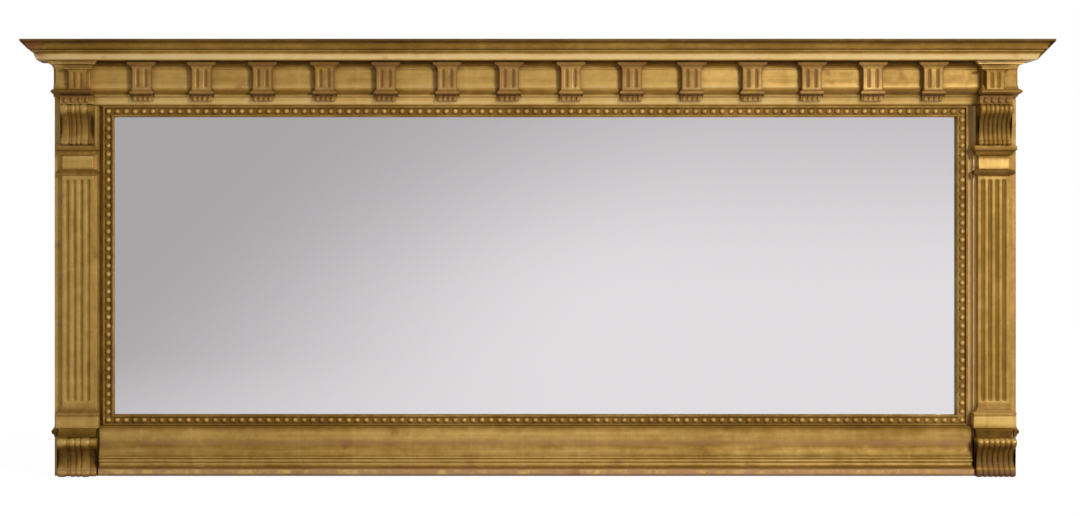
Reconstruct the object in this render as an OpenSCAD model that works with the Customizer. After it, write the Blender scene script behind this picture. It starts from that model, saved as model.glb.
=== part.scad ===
// Overmantel mirror with a cornice, a frieze of fluted blocks, pilasters on scroll feet and a bead slip.
// X runs along its length, the front faces -Y, Z is up, and it stands on Z = 0.
// Depths are counted forwards from the back of the pine frame: depth 0 is that back, and a piece's
// front is at a larger depth. back_y turns a depth into a Y.

/* [Overall] */
// Length over the cornice
overall_w = 1500; // [1450:10:1560]
// Height from the shelf to the top of the cornice
overall_h = 638; // [638:1:660]
// How far the cornice stands out past the corner piers
cornice_out = 42; // [42:1:44]
// Thickness of the pine back frame
frame_t = 24; // [24:1:26]

/* [Glass and slip] */
// Width of glass that shows inside the slip
sight_w = 1242; // [1200:1:1300]
// Height of glass that shows inside the slip
sight_h = 439; // [439:1:440]
// Height of the lower edge of that glass
sight_z = 90; // [90:1:91]
// Width of the bead slip
slip_w = 16; // [16:0.5:17]
// Thickness of the mirror plate
plate_t = 4; // [3:0.5:4]
// Diameter of one bead
bead_d = 8.6; // [7:0.2:8.6]
// Spaces between bead centres along the top and the bottom
beads_across = 96; // [40:1:96]
// Spaces between bead centres up each side
beads_up = 36; // [20:1:36]

/* [Frieze] */
// Number of fluted blocks between the corner piers
block_count = 14; // [6:1:14]
// Spacing of those blocks
block_pitch = 89.5; // [85:0.5:90]
// How far each block was set to the right of its mark, by eye, from the left
block_set = [4, 2, 2, 3.5, 3.5, 4, 5, 6, 6, 4, 3.5, 1, 1, 0.5]; // [0:0.5:6]
// Width of a block at its waist
block_w = 28.5; // [26:0.5:30]
// Width of its cap
block_cap_w = 43; // [40:1:46]
// Distance between its two flutes
block_flutes = 12; // [11:0.5:13]
// Width of a corner pier
pier_w = 50; // [48:1:52]
// How far a pier's outer face stands in from the side of the frame
pier_in = 4; // [3:0.5:5]
// Distance between the two flutes of a pier's block
pier_flutes = 9.8; // [9:0.1:11]
// How far a pier's block is set towards the middle from the pilaster below it
pier_set = 2; // [0:0.5:4]

/* [Pilasters] */
// From the side of the frame to the middle of a pilaster
pilaster_in = 35.5; // [35:0.5:36]
// Width of the fluted shaft
shaft_w = 46; // [44:1:47]
// Flutes on one shaft
flute_count = 4; // [3:1:4]
// Spacing of those flutes
flute_pitch = 10.3; // [9:0.1:10.5]
// Width of a scroll console under the pier
console_w = 48; // [46:1:48]
// Width of a scroll foot
foot_w = 58; // [54:1:58]
// Reeds on each console of the left side
reeds_left = 5; // [3:2:7]
// Reeds on each console of the right side
reeds_right = 7; // [3:2:9]

/* [Hangers] */
// Distance between the middles of the two hangers
hanger_span = 1336; // [1300:2:1350]
// Height of the hinge of the rings
hanger_z = 503.5; // [300:0.5:520]
// Thickness of the ring wire
ring_wire = 4; // [3:0.5:4]
// Width of a ring between the middles of its sides
ring_w = 26; // [24:1:30]

/* [Hidden] */
$fn = 48;
arc_steps = 6;
board_gap = 0.5;
// Further than any edge stands out past the face that carries it
past = 30;

// Depths
frieze_d = frame_t + 8;
pier_d = frieze_d + 10;
front_d = pier_d + cornice_out;
shaft_d = frame_t + 10;
architrave_d = frame_t + 3;
glass_back_d = 12;
slip_back_d = glass_back_d + plate_t;
board_d0 = 1;
board_d1 = 7;
strap_t = 1.5;
hinge_behind = 4;
eye_r = 3.5;
rear = hinge_behind + eye_r;
back_y = (front_d - rear) / 2;

// Widths, as half lengths from the middle
body_x = overall_w / 2 - cornice_out;
pier_side = body_x - pier_in;
pier_x = pier_side - pier_w;
pilaster_x = body_x - pilaster_in;
shaft_x0 = pilaster_x - shaft_w / 2;
shaft_x1 = pilaster_x + shaft_w / 2;
sight_x = sight_w / 2;
slip_x = sight_x + slip_w;
bead_line = slip_w / 2;
lap = 8;
rebate_x = sight_x + lap;
board_x = slip_x + 3;
cove_r = 7;

// Heights
sight_top = sight_z + sight_h;
slip_z0 = sight_z - slip_w;
slip_z1 = sight_top + slip_w;
rebate_z0 = sight_z - lap;
rebate_z1 = sight_top + lap;
board_z0 = slip_z0 - 3;
board_z1 = slip_z1 + 3;
cornice_h = 28.5;
bed_h = 11.5;
soffit_z = overall_h - cornice_h;
bed_z = soffit_z - bed_h;
top_board_t = 8;
taenia_top = bed_z - 24;
taenia_h = 16.5;
taenia_z = taenia_top - taenia_h;
block_z0 = taenia_z + 2.5;
block_z1 = soffit_z - 1.5;
frame_top = soffit_z - 3.5;
console_z = 485;
console_top = 546;
abacus_z = 470.5;
neck_z = 451.5;
shaft_top = 441.5;
shaft_z = 105.5;
foot_top = 58;

wood = "goldenrod";
pine = "burlywood";

function triglyph_name(i) = str("triglyph_", i < 10 ? "0" : "", i);

// ---- Curves for outlines ----

// A quarter of an ellipse that leaves a upright and reaches b level
function quarter(a, b) = [
    for (i = [0 : arc_steps])
        let (t = 90 * i / arc_steps)
        [b[0] - (b[0] - a[0]) * cos(t), a[1] + (b[1] - a[1]) * sin(t)]
];

// The same curve walked from b back to a
function quarter_back(a, b) = let (q = quarter(a, b)) [for (i = [arc_steps : -1 : 0]) q[i]];

function arc(c, r, a0, a1, steps = 8) = [
    for (i = [0 : steps])
        let (t = a0 + (a1 - a0) * i / steps)
        [c[0] + r * cos(t), c[1] + r * sin(t)]
];

// A cubic curve between a and d, pulled towards b and c, without its two ends
function bend(a, b, c, d, steps = 10) = [
    for (i = [1 : steps - 1])
        let (t = i / steps, s = 1 - t)
        s * s * s * a + 3 * s * s * t * b + 3 * s * t * t * c + t * t * t * d
];

function reversed(v) = [for (i = [len(v) - 1 : -1 : 0]) v[i]];

// An edge is a list of [projection, height]. These turn it into closed outlines.
function outline_both(edge, x0, x1) = concat(
    [for (e = edge) [x1 + e[0], e[1]]],
    [for (e = reversed(edge)) [x0 - e[0], e[1]]]
);
function outline_one(edge, face, back) = concat(
    [for (e = edge) [face + e[0], e[1]]],
    [[back, edge[len(edge) - 1][1]], [back, edge[0][1]]]
);

// ---- Placing ----

module slab(x0, x1, d0, d1, z0, z1) {
    translate([x0, back_y - d1, z0])
        cube([x1 - x0, d1 - d0, z1 - z0]);
}

// A section drawn as [depth, height], run along X
module run_x(x0, x1) {
    translate([(x0 + x1) / 2, back_y, 0])
        rotate([90, 0, -90])
            linear_extrude(x1 - x0, center = true)
                children();
}

// A front outline drawn as [x, height], run forwards from one depth to another
module forwards(d0, d1) {
    translate([0, back_y - d0, 0])
        rotate([90, 0, 0])
            linear_extrude(d1 - d0)
                children();
}

// A plan outline drawn as [x, depth], run upwards
module upwards(z0, z1) {
    translate([0, back_y, z0])
        mirror([0, 1, 0])
            linear_extrude(z1 - z0)
                children();
}

module mirrored_x() {
    mirror([1, 0, 0])
        children();
}

// A moulding carried round three sides of a block, mitred at its two front corners
module mitred_block(side_edge, front_edge, x0, x1, d0, face_d) {
    intersection() {
        forwards(d0, face_d + past)
            polygon(outline_both(side_edge, x0, x1));
        run_x(x0 - past, x1 + past)
            polygon(outline_one(front_edge, face_d, d0));
    }
}

// ---- Pine back frame ----

module frame_voids() {
    slab(-rebate_x, rebate_x, -1, frame_t + 1, rebate_z0, rebate_z1);
    slab(-slip_x, slip_x, slip_back_d, frame_t + 1, slip_z0, slip_z1);
    slab(-board_x, board_x, -1, board_d1, board_z0, board_z1);
}

module rail(z0, z1) {
    difference() {
        union() {
            slab(-rebate_x, rebate_x, 0, frame_t, z0, z1);
            slab(-body_x, body_x, 0, frame_t / 2, z0, z1);
        }
        frame_voids();
    }
}

module stile() {
    difference() {
        union() {
            slab(rebate_x, body_x, 0, frame_t, rebate_z0, rebate_z1);
            slab(rebate_x, body_x, frame_t / 2, frame_t, 0, frame_top);
        }
        frame_voids();
        // Hollow along the inner arris, beside the slip
        translate([slip_x + 1, back_y - frame_t, slip_z0])
            cylinder(r = cove_r, h = slip_z1 - slip_z0);
    }
}

module back_top_rail() {
    color(pine)
        rail(rebate_z1, frame_top);
}

module back_bottom_rail() {
    color(pine)
        rail(0, rebate_z0);
}

module back_right_stile() {
    color(pine)
        stile();
}

module back_left_stile() {
    color(pine)
        mirrored_x()
            stile();
}

// ---- Cornice ----

// Section of the cornice as [projection past the pier, height], from the soffit up
cornice_edge = let (
    corona_foot = [20.8, soffit_z],
    corona_top = [24.6, soffit_z + 9.8],
    bead_c = [27, soffit_z + 13],
    cove_foot = [32.5, soffit_z + 15],
    cove_top = [39.5, overall_h - 3.2]
) concat(
    [corona_foot, corona_top, [25.2, bead_c[1] - 2.6], [bead_c[0], bead_c[1] - 1.7]],
    arc(bead_c, 1.7, -90, 90),
    [[30.5, bead_c[1] + 1.7], [30.5, cove_foot[1]]],
    quarter(cove_foot, cove_top),
    [[cornice_out, cove_top[1]], [cornice_out, overall_h]]
);

module cornice_front() {
    color(wood)
        intersection() {
            run_x(-overall_w / 2, overall_w / 2)
                polygon(outline_one(cornice_edge, pier_d, frieze_d));
            upwards(soffit_z - 1, overall_h + 1)
                polygon([
                    [-body_x, frieze_d], [body_x, frieze_d], [body_x, pier_d],
                    [body_x + cornice_out, front_d], [-body_x - cornice_out, front_d], [-body_x, pier_d]
                ]);
        }
}

module cornice_return() {
    intersection() {
        forwards(0, front_d)
            polygon(outline_one(cornice_edge, body_x, body_x));
        upwards(soffit_z - 1, overall_h + 1)
            polygon([
                [body_x, 0], [body_x + cornice_out + 1, 0],
                [body_x + cornice_out + 1, front_d + 1], [body_x, pier_d]
            ]);
    }
}

module cornice_right_return() {
    color(wood)
        cornice_return();
}

module cornice_left_return() {
    color(wood)
        mirrored_x()
            cornice_return();
}

module cornice_top_board() {
    color(pine)
        slab(-body_x, body_x, 0, frieze_d, overall_h - top_board_t, overall_h);
}

// ---- Frieze ----

bed_edge = concat(
    [[1.5, bed_z], [1.5, bed_z + 2]],
    quarter([2, bed_z + 2], [7.5, bed_z + 6.5]),
    [[8.5, bed_z + 6.5], [8.5, bed_z + 8]],
    quarter([8.5, bed_z + 8], [10.5, bed_z + 9.5]),
    [[10.5, soffit_z]]
);

taenia_edge = let (foot = [0.8, taenia_z], top = [0.8, taenia_top - 3]) concat(
    [foot],
    bend(foot, [4.8, taenia_z + 1], [5.6, taenia_z + 8], top),
    [top, [0.5, taenia_top - 0.5]]
);

pier_taenia_edge = concat(
    [[1, taenia_z]],
    quarter([1, taenia_z + 0.5], [3, taenia_z + 3]),
    arc([2.2, taenia_z + 6.5], 2.8, -60, 60),
    quarter_back([1, taenia_top], [3, taenia_z + 10])
);

module frieze_board() {
    color(wood)
        slab(-body_x, body_x, frame_t, frieze_d, taenia_z, overall_h - top_board_t);
}

function block_x(i) = (i - (block_count + 1) / 2) * block_pitch + block_set[i - 1];

// Half widths of a block's foot and of the strip under it that carries the drops
block_foot = 18;
drop_strip = 15;

// Front outline of a fluted block from its taenia piece to its cap, as [half width, height]
function block_edge(z0, z1) = concat(
    [[block_foot - 2, z0], [block_foot, z0 + 1.5], [block_foot, z0 + 5]],
    quarter_back([block_w / 2, z0 + 10], [block_foot - 1, z0 + 5.5]),
    quarter([block_w / 2, z1 - 12], [block_cap_w / 2 - 1.5, z1 - 5]),
    [[block_cap_w / 2 - 1.5, z1 - 3.5], [block_cap_w / 2, z1 - 3.5], [block_cap_w / 2, z1]]
);

// Side outline of the same block, as [depth past the plane it is fixed to, height]
function block_side(z0, z1, out) = concat(
    [[out - 2, z0], [out + 3, z0 + 1.5], [out + 3, z0 + 5]],
    quarter_back([out, z0 + 10], [out + 2.5, z0 + 5.5]),
    quarter([out, z1 - 12], [out + 3, z1 - 5]),
    [[out + 3, z1 - 3.5], [out + 4.5, z1 - 3.5], [out + 4.5, z1]]
);

module drop(x, d, z0, h, r) {
    translate([x, back_y - d, z0])
        cylinder(r1 = r, r2 = r * 0.6, h = h);
}

// A block cut to a front outline and a side outline, with two flutes in its waist, which stands out by out
module fluted_block(x, face_d, edge, side, out, pitch, flute_z0, flute_z1) {
    flute_r = 2.3;
    flute_sunk = 0.6;
    translate([x, 0, 0])
        difference() {
            intersection() {
                forwards(face_d, face_d + past)
                    polygon(outline_both(edge, 0, 0));
                run_x(-block_cap_w, block_cap_w)
                    polygon(outline_one(side, face_d, face_d));
            }
            for (way = [-1, 1])
                translate([way * pitch / 2, back_y - face_d - out - flute_sunk, 0]) {
                    translate([0, 0, flute_z0])
                        cylinder(r = flute_r, h = flute_z1 - flute_z0);
                    for (z = [flute_z0, flute_z1])
                        translate([0, 0, z])
                            sphere(r = flute_r);
                }
        }
}

module triglyph(i) {
    x = block_x(i);
    drop_pitch = 7.3;
    drop_h = 6.5;
    drop_r = 3;
    strip_out = 5;
    waist_out = 11;
    flute_in = 12.5;
    color(wood) {
        fluted_block(x, frieze_d, block_edge(block_z0, block_z1), block_side(block_z0, block_z1, waist_out),
            waist_out, block_flutes, block_z0 + flute_in, block_z1 - flute_in);
        // The strip that carries the drops stands on the frieze board and on the architrave below it
        difference() {
            slab(x - drop_strip, x + drop_strip, architrave_d, frieze_d + strip_out,
                taenia_z - drop_h, block_z0);
            slab(x - block_foot, x + block_foot, 0, frieze_d, taenia_z, block_z0 + 1);
        }
        for (k = [-1.5 : 1 : 1.5])
            drop(x + k * drop_pitch, frieze_d + strip_out, taenia_z - drop_h, drop_h + 1, drop_r);
    }
}

// What the runs of moulding along the frieze leave free for the blocks
module block_seats() {
    for (i = [1 : block_count])
        translate([block_x(i), 0, 0])
            forwards(frieze_d - 1, front_d)
                polygon(outline_both(
                    concat([[block_foot - 2, taenia_z - 1]], block_edge(block_z0, block_z1)), 0, 0));
}

module bed_moulding() {
    color(wood)
        difference() {
            intersection() {
                run_x(-pier_x, pier_x)
                    polygon(outline_one(bed_edge, frieze_d, frieze_d));
                // Between the sides of the two pier caps
                forwards(frieze_d, front_d)
                    polygon(outline_both(bed_edge, pier_x, -pier_x));
            }
            block_seats();
        }
}

module taenia_moulding() {
    color(wood)
        difference() {
            intersection() {
                run_x(-pier_x, pier_x)
                    polygon(outline_one(taenia_edge, frieze_d, frieze_d));
                // Between the sides of the two piers' own pieces
                forwards(frieze_d, front_d)
                    polygon(outline_both(pier_taenia_edge, pier_x, -pier_x));
            }
            block_seats();
        }
}

module architrave_board() {
    color(wood)
        run_x(-pilaster_x + console_w / 2, pilaster_x - console_w / 2)
            polygon([
                [frame_t, slip_z1], [architrave_d - 1.5, slip_z1], [architrave_d, slip_z1 + 2.5],
                [architrave_d, taenia_z], [frame_t, taenia_z]
            ]);
}

// ---- Corner piers ----

// A pier's fluted block has no foot of its own: it is let into the top of the pier's piece of taenia, and
// its flutes run from there nearly up to its cap
module pier_fluted_block() {
    let_in = 6.5;
    waist = 13;
    waist_out = 10;
    flare = 6;
    flare_out = 2.5;
    cap_h = 1.5;
    cap_step = 1;
    z0 = taenia_top - let_in;
    cap_z = bed_z - cap_h;
    flute_z0 = z0 + 3.5;
    flute_z1 = bed_z - flare - 2;
    edge = concat(
        [[waist, z0]],
        quarter([waist, bed_z - flare], [block_cap_w / 2 - cap_step, cap_z]),
        [[block_cap_w / 2, cap_z], [block_cap_w / 2, bed_z]]
    );
    side = concat(
        [[waist_out, z0]],
        quarter([waist_out, bed_z - flare], [waist_out + flare_out, cap_z]),
        [[waist_out + flare_out + cap_step, cap_z], [waist_out + flare_out + cap_step, bed_z]]
    );
    fluted_block(pilaster_x - pier_set, pier_d, edge, side, waist_out, pier_flutes, flute_z0, flute_z1);
}

// The return of a pier's moulding along the side of the frame: as much of its edge as stands out there
module pier_return(edge) {
    least = 0.5;
    forwards(0, frieze_d)
        polygon(outline_one([for (e = edge) [max(e[0] - pier_in, least), e[1]]], body_x, body_x));
}

module pier_cap() {
    color(wood) {
        mitred_block(bed_edge, bed_edge, pier_x, pier_side, frieze_d, pier_d);
        pier_return(bed_edge);
    }
}

module pier_block() {
    color(wood)
        slab(pier_x, pier_side, frieze_d, pier_d, taenia_top, bed_z);
}

module pier_triglyph() {
    color(wood)
        pier_fluted_block();
}

module pier_taenia() {
    // The front stands out this many times further than the side, to carry the fluted block
    front_scale = 3.2;
    front = [for (e = pier_taenia_edge) [e[0] * front_scale, e[1]]];
    color(wood) {
        difference() {
            mitred_block(pier_taenia_edge, front, pier_x, pier_side, frieze_d, pier_d);
            pier_fluted_block();
        }
        pier_return(pier_taenia_edge);
    }
}

// ---- Scroll consoles ----

// Side outline of a console: a roll at the top, a hollow waist and a smaller roll at the foot
function console_outline(z0, z1, top_d, top_r, waist_d, foot_d, foot_r, inset) =
    let (
        upper = arc([top_d - top_r, z1 - top_r], top_r - inset, 90, -50, 10),
        lower = arc([foot_d - foot_r, z0 + foot_r], foot_r - inset, 60, -90, 10),
        a = upper[10],
        b = lower[0],
        mid = [waist_d - inset, (a[1] + b[1]) / 2],
        k = (a[1] - b[1]) / 3
    )
    concat(
        [[frame_t, z1 - inset]], upper,
        bend(a, a + [-3, -3], mid + [0, k], mid), [mid], bend(mid, mid - [0, k], b + [-1, 4], b),
        lower, [[frame_t, z0 + inset]]
    );

module console(w, z0, z1, top_d, top_r, waist_d, foot_d, foot_r, reeds) {
    valley = 1.8;
    // The reeds' own width, as a share of their spacing
    reed_share = 0.72;
    pitch = w / reeds;
    body_half = w / 2 - 0.4;
    run_x(pilaster_x - body_half, pilaster_x + body_half)
        polygon(console_outline(z0, z1, top_d, top_r, waist_d, foot_d, foot_r, valley));
    for (k = [0 : reeds - 1])
        translate([pilaster_x - w / 2 + (k + 0.5) * pitch, 0, 0])
            run_x(-pitch * reed_share / 2, pitch * reed_share / 2)
                polygon(console_outline(z0, z1, top_d, top_r, waist_d, foot_d, foot_r, 0));
    slab(pilaster_x - body_half, pilaster_x + body_half, frame_t, waist_d - valley, z0, z1);
}

module upper_console(reeds) {
    drop_pitch = 10.5;
    drop_r = 3.4;
    shelf_d = 50;
    color(wood) {
        console(console_w, console_z, console_top, 56, 7.5, 40, 45, 5, reeds);
        slab(pilaster_x - console_w / 2, pilaster_x + console_w / 2, frame_t, shelf_d, console_top, taenia_z);
        for (k = [-1.5 : 1 : 1.5])
            drop(pilaster_x + k * drop_pitch, shelf_d + 0.5, console_top + 2,
                taenia_z - console_top - 3.5, drop_r);
    }
}

module scroll_foot(reeds) {
    color(wood)
        console(foot_w, 0, foot_top, 56, 7.5, 41, 50, 6, reeds);
}

// ---- Pilasters ----

// How far its sides stand out, as a share of what its front does
abacus_side = 0.66;

abacus_edge = concat(
    [[0.5, abacus_z]],
    quarter_back([7.5, abacus_z + 6], [0.5, abacus_z + 0.5]),
    [[9, abacus_z + 6], [9, abacus_z + 8], [12.5, abacus_z + 8], [12.5, console_z]]
);

module abacus() {
    side_edge = [for (e = abacus_edge) [e[0] * abacus_side, e[1]]];
    color(wood)
        mitred_block(side_edge, abacus_edge, shaft_x0, shaft_x1, frame_t, shaft_d);
}

module neck_block() {
    neck_w = shaft_w - 1;
    astragal_out = 7.5;
    astragal_r = (neck_z - shaft_top) / 2 - 1;
    astragal_edge = concat(
        [[0, shaft_top], [astragal_out - astragal_r, shaft_top + 1]],
        arc([astragal_out - astragal_r, shaft_top + 1 + astragal_r], astragal_r, -80, 80),
        [[astragal_out - astragal_r, neck_z - 1], [0, neck_z]]
    );
    x0 = pilaster_x - neck_w / 2;
    x1 = pilaster_x + neck_w / 2;
    color(wood) {
        slab(x0, x1, frame_t, shaft_d + 1, neck_z, abacus_z);
        mitred_block(astragal_edge, astragal_edge, x0, x1, frame_t, shaft_d);
    }
}

module pilaster_shaft() {
    flute_r = 3.6;
    flute_sunk = 1.2;
    flute_end = 8;
    color(wood)
        difference() {
            slab(shaft_x0, shaft_x1, frame_t, shaft_d, shaft_z, shaft_top);
            for (k = [0 : flute_count - 1])
                let (x = pilaster_x + (k - (flute_count - 1) / 2) * flute_pitch)
                translate([x, back_y - shaft_d - flute_sunk, 0]) {
                    translate([0, 0, shaft_z + flute_end])
                        cylinder(r = flute_r, h = shaft_top - shaft_z - 2 * flute_end);
                    for (z = [shaft_z + flute_end, shaft_top - flute_end])
                        translate([0, 0, z])
                            sphere(r = flute_r);
                }
        }
}

// The base, from the foot of the shaft down: hollow, fillet, quirk, plinth and the splay under it
base_edge = concat(
    [[2.5, foot_top]],
    quarter([3.5, foot_top + 3], [6.5, foot_top + 13]),
    [[8.3, foot_top + 13.5], [8.3, foot_top + 30.5], [7, foot_top + 30.5], [7, foot_top + 32]],
    [[8.5, foot_top + 32], [8.5, foot_top + 36]],
    quarter_back([0.6, shaft_z], [7.5, foot_top + 36.5])
);

module pilaster_base() {
    side_edge = concat(
        [[0.5, foot_top]],
        arc([0.5, foot_top + 7], 4.2, -80, 80),
        [[0.5, foot_top + 14]]
    );
    color(wood) {
        mitred_block(base_edge, base_edge, shaft_x0, shaft_x1, frame_t, shaft_d);
        // The splay's return along the side of the frame
        forwards(0, frame_t)
            polygon(outline_one(side_edge, body_x, body_x));
        slab(body_x - 4, body_x + 0.5, frame_t, frame_t + 3, foot_top, foot_top + 14);
    }
}

// ---- Slip round the glass ----

// Section of the slip as [distance out from the sight edge, depth]
slip_bed_d = 22;
slip_section = [
    [0, slip_back_d], [0, slip_bed_d + 3.4], [0.6, slip_bed_d + 4], [2.8, slip_bed_d + 4],
    [3.4, slip_bed_d], [slip_w - 3.4, slip_bed_d], [slip_w - 2.9, slip_bed_d + 4.4],
    [slip_w - 0.6, slip_bed_d + 4.4], [slip_w, slip_bed_d + 3.6], [slip_w, slip_back_d]
];

// Half beads that sit on the slip's bed, one at each point [x, z]
module beads(points) {
    for (p = points)
        translate([p[0], back_y - slip_bed_d, p[1]])
            rotate([90, 0, 0])
                intersection() {
                    sphere(d = bead_d);
                    cylinder(d = bead_d + 2, h = bead_d);
                }
}

function bead_row(z) = [
    for (i = [0 : beads_across]) [(i / beads_across * 2 - 1) * (sight_x + bead_line), z]
];

function bead_column(x) = [
    for (i = [1 : beads_up - 1])
        [x, sight_z - bead_line + i / beads_up * (sight_h + 2 * bead_line)]
];

module slip_row(sight_edge, out) {
    intersection() {
        run_x(-slip_x, slip_x)
            polygon([for (s = slip_section) [s[1], sight_edge + out * s[0]]]);
        forwards(slip_back_d - 1, slip_bed_d + 10)
            polygon([
                [-sight_x, sight_edge], [sight_x, sight_edge],
                [slip_x, sight_edge + out * slip_w], [-slip_x, sight_edge + out * slip_w]
            ]);
    }
    beads(bead_row(sight_edge + out * bead_line));
}

module slip_column() {
    intersection() {
        upwards(slip_z0, slip_z1)
            polygon([for (s = slip_section) [sight_x + s[0], s[1]]]);
        forwards(slip_back_d - 1, slip_bed_d + 10)
            polygon([[sight_x, sight_z], [slip_x, slip_z0], [slip_x, slip_z1], [sight_x, sight_top]]);
    }
    beads(bead_column(sight_x + bead_line));
}

module slip_top() {
    color(wood)
        slip_row(sight_top, 1);
}

module slip_bottom() {
    color(wood)
        slip_row(sight_z, -1);
}

module slip_right() {
    color(wood)
        slip_column();
}

module slip_left() {
    color(wood)
        mirrored_x()
            slip_column();
}

// ---- Bottom rail moulding ----

module bottom_rail_moulding() {
    // It runs between the plinths of the two bases
    half = shaft_x0 - 8.5;
    bead_c = [35, 23.6];
    section = concat(
        [[frame_t, 3.5], [45.5, 3.5], [45.5, 12.3], [42.5, 12.3], [42.5, 13.3]],
        quarter_back([36, 19.5], [41.5, 13.8]),
        [[36, 20], [bead_c[0], 20.6]],
        arc(bead_c, 2.6, -90, 90),
        [[bead_c[0], 27], [36.5, 27], [36.5, 29]],
        bend([36.5, 29], [31, 38], [29, 52], [33, slip_z0 - 2.5], 14),
        [[33, slip_z0 - 2.5], [34, slip_z0 - 2], [34, slip_z0], [frame_t, slip_z0]]
    );
    color(wood)
        run_x(-half, half)
            polygon(section);
}

// ---- Mirror plate and what holds it ----

module mirror_plate() {
    edge_gap = 0.6;
    color("lightsteelblue")
        slab(-rebate_x + edge_gap, rebate_x - edge_gap, glass_back_d, slip_back_d,
            rebate_z0 + edge_gap, rebate_z1 - edge_gap);
}

module glue_blocks() {
    block_l = 40;
    block_in = 12;
    block_spacing = 260;
    half_count = 3;
    color(pine) {
        // Behind the frieze board, under the cornice's top board
        for (k = [-half_count : half_count])
            let (x = k / half_count * (body_x - block_l / 2))
            slab(x - block_l / 2, x + block_l / 2, 0, frame_t, frame_top, overall_h - top_board_t);
        // Round the back of the mirror plate
        for (k = [-2 : 2])
            let (x0 = k * block_spacing - block_l / 2, x1 = x0 + block_l) {
                slab(x0, x1, board_d1, glass_back_d, rebate_z1 - block_in, rebate_z1);
                slab(x0, x1, board_d1, glass_back_d, rebate_z0, rebate_z0 + block_in);
            }
        for (side = [0, 1], z = [sight_z + 90, sight_z + 350])
            mirror([side, 0, 0])
                slab(rebate_x - block_in, rebate_x, board_d1, glass_back_d, z - block_l / 2, z + block_l / 2);
    }
}

board_joint = (board_z0 + board_z1) / 2;

module backboard(z0, z1) {
    color("sienna")
        slab(-board_x + board_gap, board_x - board_gap, board_d0, board_d1, z0, z1);
}

module backboard_upper() {
    backboard(board_joint + board_gap, board_z1 - board_gap);
}

module backboard_lower() {
    backboard(board_z0 + board_gap, board_joint);
}

// A wood screw with a domed head, driven forwards from a back face at a given depth
module wood_screw(x, z, head_d, length, shank_r, head_r) {
    translate([x, back_y - head_d, z])
        rotate([90, 0, 0]) {
            cylinder(r = shank_r, h = length);
            intersection() {
                translate([0, 0, head_r * 1.2])
                    sphere(r = head_r * 1.562);
                translate([0, 0, -head_r])
                    cylinder(r = head_r, h = head_r);
            }
        }
}

screw_in = (lap + 3) / 2;

module board_screw(x, z) {
    wood_screw(x, z, board_d0, 13, 1.5, 2.4);
}

module backboard_screws() {
    screw_pitch = 300;
    from_ends = 50;
    color("silver") {
        for (k = [-2 : 2], z = [board_z0 + screw_in, board_z1 - screw_in])
            board_screw(k * screw_pitch, z);
        for (x = [-board_x + screw_in, board_x - screw_in], z = [sight_z + from_ends, sight_top - from_ends])
            board_screw(x, z);
    }
}

// ---- Hangers on the back ----

bar_r = ring_wire / 2;
bore_r = bar_r + 0.08;
eye_l = 10;
strap_w = 16;
strap_l = 52;
// From the hinge down to the strap's shoulders and to its two screws
shoulder = 6;
strap_screws = [30, 45];

module hanger_strap() {
    difference() {
        union() {
            slab(-strap_w / 2, strap_w / 2, -strap_t, 0, hanger_z - strap_l, hanger_z - shoulder);
            slab(-eye_l / 2, eye_l / 2, -strap_t, 0, hanger_z - shoulder, hanger_z);
            translate([0, back_y + hinge_behind, hanger_z])
                rotate([0, 90, 0])
                    cylinder(r = eye_r, h = eye_l, center = true);
        }
        translate([0, back_y + hinge_behind, hanger_z])
            rotate([0, 90, 0])
                cylinder(r = bore_r, h = eye_l + 2, center = true);
        for (z = strap_screws)
            translate([0, back_y - 1, hanger_z - z])
                rotate([-90, 0, 0])
                    cylinder(r = 1.8, h = 4);
    }
}

module hanger_straps() {
    color("dimgray")
        for (side = [-1, 1])
            translate([side * hanger_span / 2, 0, 0])
                hanger_strap();
}

module hanger_screws() {
    color("silver")
        for (side = [-1, 1], z = strap_screws)
            translate([side * hanger_span / 2, 0, 0])
                wood_screw(0, hanger_z - z, -strap_t, 17, 1.7, 3);
}

module hanger_ring(side) {
    half = ring_w / 2;
    drop_l = 8;
    color("gray")
        translate([side * hanger_span / 2, back_y + hinge_behind, hanger_z]) {
            rotate([0, 90, 0])
                cylinder(r = bar_r, h = ring_w, center = true);
            for (end = [-1, 1]) {
                translate([end * half, 0, 0])
                    sphere(r = bar_r);
                translate([end * half, 0, -drop_l])
                    cylinder(r = bar_r, h = drop_l);
            }
            translate([0, 0, -drop_l])
                rotate([-90, 0, 0])
                    rotate_extrude(angle = 180)
                        translate([half, 0])
                            circle(r = bar_r);
        }
}

// ---- Nodes ----

back_top_rail();
back_bottom_rail();
back_left_stile();
back_right_stile();
cornice_front();
cornice_left_return();
cornice_right_return();
cornice_top_board();
bed_moulding();
frieze_board();
taenia_moulding();
architrave_board();
for (i = [1 : block_count])
    triglyph(i);
mirrored_x() pier_cap();  // left_pier_cap
pier_cap();  // right_pier_cap
mirrored_x() pier_block();  // left_pier_block
pier_block();  // right_pier_block
mirrored_x() pier_triglyph();  // left_pier_triglyph
pier_triglyph();  // right_pier_triglyph
mirrored_x() pier_taenia();  // left_pier_taenia
pier_taenia();  // right_pier_taenia
mirrored_x() upper_console(reeds_left);  // left_upper_console
upper_console(reeds_right);  // right_upper_console
mirrored_x() abacus();  // left_abacus
abacus();  // right_abacus
mirrored_x() neck_block();  // left_neck_block
neck_block();  // right_neck_block
mirrored_x() pilaster_shaft();  // left_pilaster_shaft
pilaster_shaft();  // right_pilaster_shaft
mirrored_x() pilaster_base();  // left_pilaster_base
pilaster_base();  // right_pilaster_base
mirrored_x() scroll_foot(reeds_left);  // left_scroll_foot
scroll_foot(reeds_right);  // right_scroll_foot
slip_top();
slip_bottom();
slip_left();
slip_right();
bottom_rail_moulding();
mirror_plate();
glue_blocks();
backboard_upper();
backboard_lower();
backboard_screws();
hanger_straps();
hanger_screws();
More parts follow.
